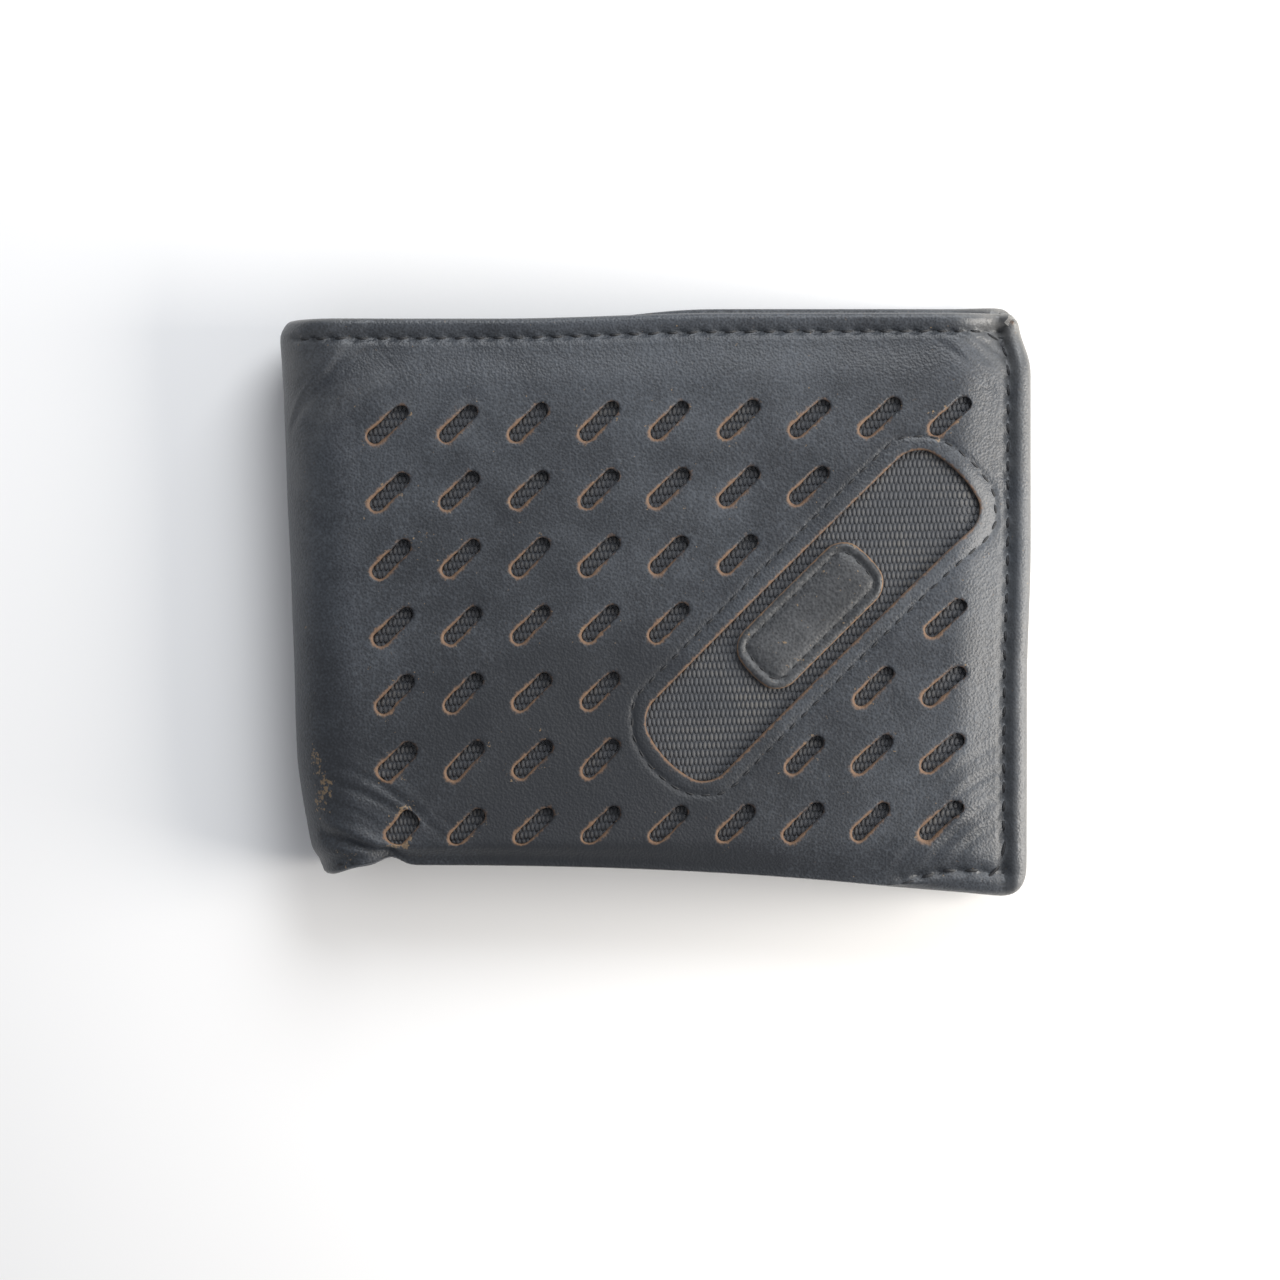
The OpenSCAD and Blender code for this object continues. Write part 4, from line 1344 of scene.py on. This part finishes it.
IN = 2.2   # from the edge of a panel to its stitches
on_cards, base_low, base_high = panel("card_base", "front_leaf", -1, 0.9)
card_pockets = [panel("card_pocket_%d" % (i + 1), "front_leaf", -1, 1.3 + i) for i in range(3)]
low, high = card_pockets[2][1:]
card_line = [(low[0] + IN, base_high[1] - IN), (high[0] - IN, base_high[1] - IN),
             (high[0] - IN, low[1] + IN), (low[0] + IN, low[1] + IN)]
seam("card_seam", "front_leaf", ["card_stitches"], [closed(np.array(card_line))],
     on_steps(on_cards, card_pockets), True, **FINE)

# %% [markdown]
# ## Coin pocket
# Its front is joined to the base by a gusset, a strip folded like an accordion, so that the pocket
# opens. The flap grows out of the base above it, bends over the mouth and ends in a snap.

# %% Coin pocket
panel("coin_base", "back_leaf", 1, 0.3, crease=False)
on_coin, low, high = panel("coin_front", "back_leaf", 1, 2.2, corner=(5.0, 1.5))
coin_path, coin_outs = rounded_outline(low[0] + 1.6, high[0] - 1.6, low[1] + 1.6, high[1] - 1.0,
                                       (3.8, 0.6), step=0.8)
# Only the sides below the mouth are sewn, so the path starts where the outline comes down to them
sewn = coin_path[:, 1] < high[1] - 2
start = next(i for i in range(len(sewn)) if sewn[i] and not sewn[i - 1])
order = [(start + i) % len(sewn) for i in range(sum(sewn))]
coin_path, coin_outs = coin_path[order], coin_outs[order]
seam("coin_seam", "back_leaf", ["coin_stitches"], [coin_path], on_coin, **FINE)


def sweep(name, path, outs, section, finish):
    """A closed strip: section points (outward, height) carried along a path."""
    count = len(section)
    data, faces = [], []
    for p, out in zip(path, outs):
        for away, height in section:
            q = p + out * away
            data.append((q[0], q[1], height))
    for i in range(len(path) - 1):
        for k in range(count):
            a, b = i * count + k, i * count + (k + 1) % count
            faces.append((a, b, b + count, a + count))
    faces.append(tuple(reversed(range(count))))
    faces.append(tuple(range(len(data) - count, len(data))))
    data = np.array(data)
    vertices = standing(data[:, 0], data[:, 1], data[:, 2])
    attributes = {"raw": np.zeros(len(data)), "rub": np.full(len(data), 0.05)}
    return new_mesh_object(name, vertices, faces, attributes, finish)


def strip_section(line, thick):
    """A line of (outward, height) points, given a thickness."""
    line = np.array(line, float)
    along = np.gradient(line, axis=0)
    along /= np.linalg.norm(along, axis=1)[:, None]
    side = np.stack([-along[:, 1], along[:, 0]], axis=1) * thick / 2
    return np.vstack([line + side, (line - side)[::-1]])


GUSSET_FOLDS = [(-2.2, 5.62), (-0.3, 5.66), (0.5, 5.8), (0.55, 5.92), (0.2, 6.02), (-1.7, 6.05),
                (-2.25, 6.12), (-2.25, 6.24), (-1.7, 6.3), (0.3, 6.34), (0.9, 6.44), (0.9, 6.54),
                (0.3, 6.6), (-2.0, 6.6)]
gusset = sweep("coin_gusset_strip", coin_path, coin_outs, strip_section(GUSSET_FOLDS, 0.14),
               fine_nylon)
tie(gusset, "back_leaf", "lining_nylon", "coin_gusset")


# %% Coin flap
flap_low, flap_high = node_box("flap_outer")
root_low, root_high = node_box("flap_root")
FLAP = 0.68


def on_flap(u, v, depth):
    """Flat on the base at its root, up over the mouth of the pocket, flat on the pocket."""
    rise = smooth(root_low[1] + 1.7, flap_high[1] - 1.6, v)
    face = root_high[2] + (flap_high[2] - root_high[2]) * rise
    groove = 0.12 * hump(np.abs(u - (flap_low[0] + flap_high[0]) / 2),
                         (flap_high[0] - flap_low[0]) / 2 - 2.2, 0.4)
    return standing(u, v, face - (depth + 0.03 + (groove + 0.3 * waves(u, v, 3.1))))


flap_outline = rounded_outline(flap_low[0], flap_high[0], flap_low[1], root_high[1], (7.0, 1.5),
                               step=1.0)
flap = leather_sheet("coin_flap_leather", flap_outline, on_flap, FLAP, inner_leather, edge=0.3,
                     spacing=1.1, edge_rub=0.8)
under_outline = rounded_outline(flap_low[0] + 1.2, flap_high[0] - 1.2, flap_low[1] + 1.2, 8.2,
                                (6.0, 1.0), step=1.2)
flap_under = leather_sheet("coin_flap_nylon", under_outline,
                           lambda u, v, d: on_flap(u, v, d + FLAP + 0.02), 0.32, fine_nylon,
                           edge=0.12, spacing=1.8)
FLAP_BEND = ("back_leaf", "coin_flap", (10.4 * MM, 12.2 * MM, 6.0 * MM),
             (10.4 * MM, 8.4 * MM, 8.6 * MM))
tie(flap, FLAP_BEND, "lining_leather", "flap_outer", "flap_root")
tie(flap_under, "coin_flap", "lining_nylon", "flap_lining")
flap_inner = rounded_outline(flap_low[0] + IN, flap_high[0] - IN, flap_low[1] + IN,
                             root_high[1] - 2, (5.0, 0.5), step=1.0)[0]
seam("flap_seam", FLAP_BEND, [], [closed(flap_inner)], on_flap, **FINE)

# %% [markdown]
# ## Third leaf
# A stiffened leaf between the covers turns on a leather ribbon near the fold. Its underside is a
# framed clear window for a card, its upper side has two more pockets.

# %% Third leaf
on_core, core_low, core_high = panel("wing_core", "third_leaf", 1, 0.5, corner=3.0, crease=False)
frame_low, frame_high = node_box("wing_frame")
BORDER = 9.0
opening = rounded_outline(frame_low[0] + BORDER, frame_high[0] - BORDER, frame_low[1] + BORDER,
                          frame_high[1] - BORDER, 3.0, step=1.2)[0]
opening_rings = [ring_round(opening, gap) for gap in RING_GAPS]
on_frame = panel("wing_frame", "third_leaf", -1, 1.7, corner=3.0, crease=False,
                 holes=[opening_rings], thin=0.22)[0]
panel("wing_window", "third_leaf", -1, 0.2, corner=1.5, finish=clear_sheet, slot="clear_vinyl",
      crease=False, thin=0.18, spacing=2.5)
wing_pockets = [panel("wing_pocket_%d" % (i + 1), "third_leaf", 1, 4.0 + i, corner=2.5)
                for i in range(2)]
wing_line = closed(rounded_outline(core_low[0] + IN, core_high[0] - IN, core_low[1] + IN,
                                   core_high[1] - IN, 1.5, step=1.0)[0])
seam("wing_seam", "third_leaf", ["wing_stitches"], [wing_line], on_steps(on_core, wing_pockets),
     **FINE)
seam("wing_frame_seam", "third_leaf", [], [closed(ring_round(opening, 2.0)), wing_line], on_frame,
     True, **FINE)

anchor_low, anchor_high = node_box("wing_anchor")
tab_low, tab_high = node_box("wing_tab")
web_x = anchor_low[0] + 0.35
tab_z = (core_low[2] + core_high[2]) / 2
ribbon_line = [(anchor_high[0], 5.85), (web_x + 1.6, 5.85), (web_x + 0.6, 6.0), (web_x + 0.1, 6.5),
               (web_x, 7.2), (web_x, 8.4), (web_x, 9.6), (web_x + 0.05, 10.4),
               (web_x + 0.3, 11.0), (web_x + 0.9, tab_z), (web_x + 2.0, tab_z + 0.02),
               (core_low[0] + 1.5, tab_z + 0.02)]
# The ribbon's section runs down the wallet, so each of its points gives x and height
RIBBON_ROWS = 60
ribbon_path = np.array([(0.0, v) for v in np.linspace(tab_high[1], tab_low[1], RIBBON_ROWS)])
ribbon = sweep("wing_ribbon", ribbon_path, np.array([(1.0, 0.0)] * RIBBON_ROWS),
               strip_section(ribbon_line, 0.45), inner_leather)
RIBBON_BEND = ("back_leaf", "third_leaf", (web_x * MM, 0, 8.7 * MM),
               ((core_low[0] - 0.7) * MM, 0, tab_z * MM))
tie(ribbon, RIBBON_BEND, "lining_leather", "wing_anchor", "wing_tab")

# %% [markdown]
# ## Metal parts
# The snap is turned metal, so its CAD solids stay and only get their material.

# %% Snap
for node in ("snap_stud", "snap_post", "snap_cap", "snap_socket"):
    metal = bpy.data.objects[node]
    metal.data.materials.clear()
    metal.data.materials.append(snap_metal)
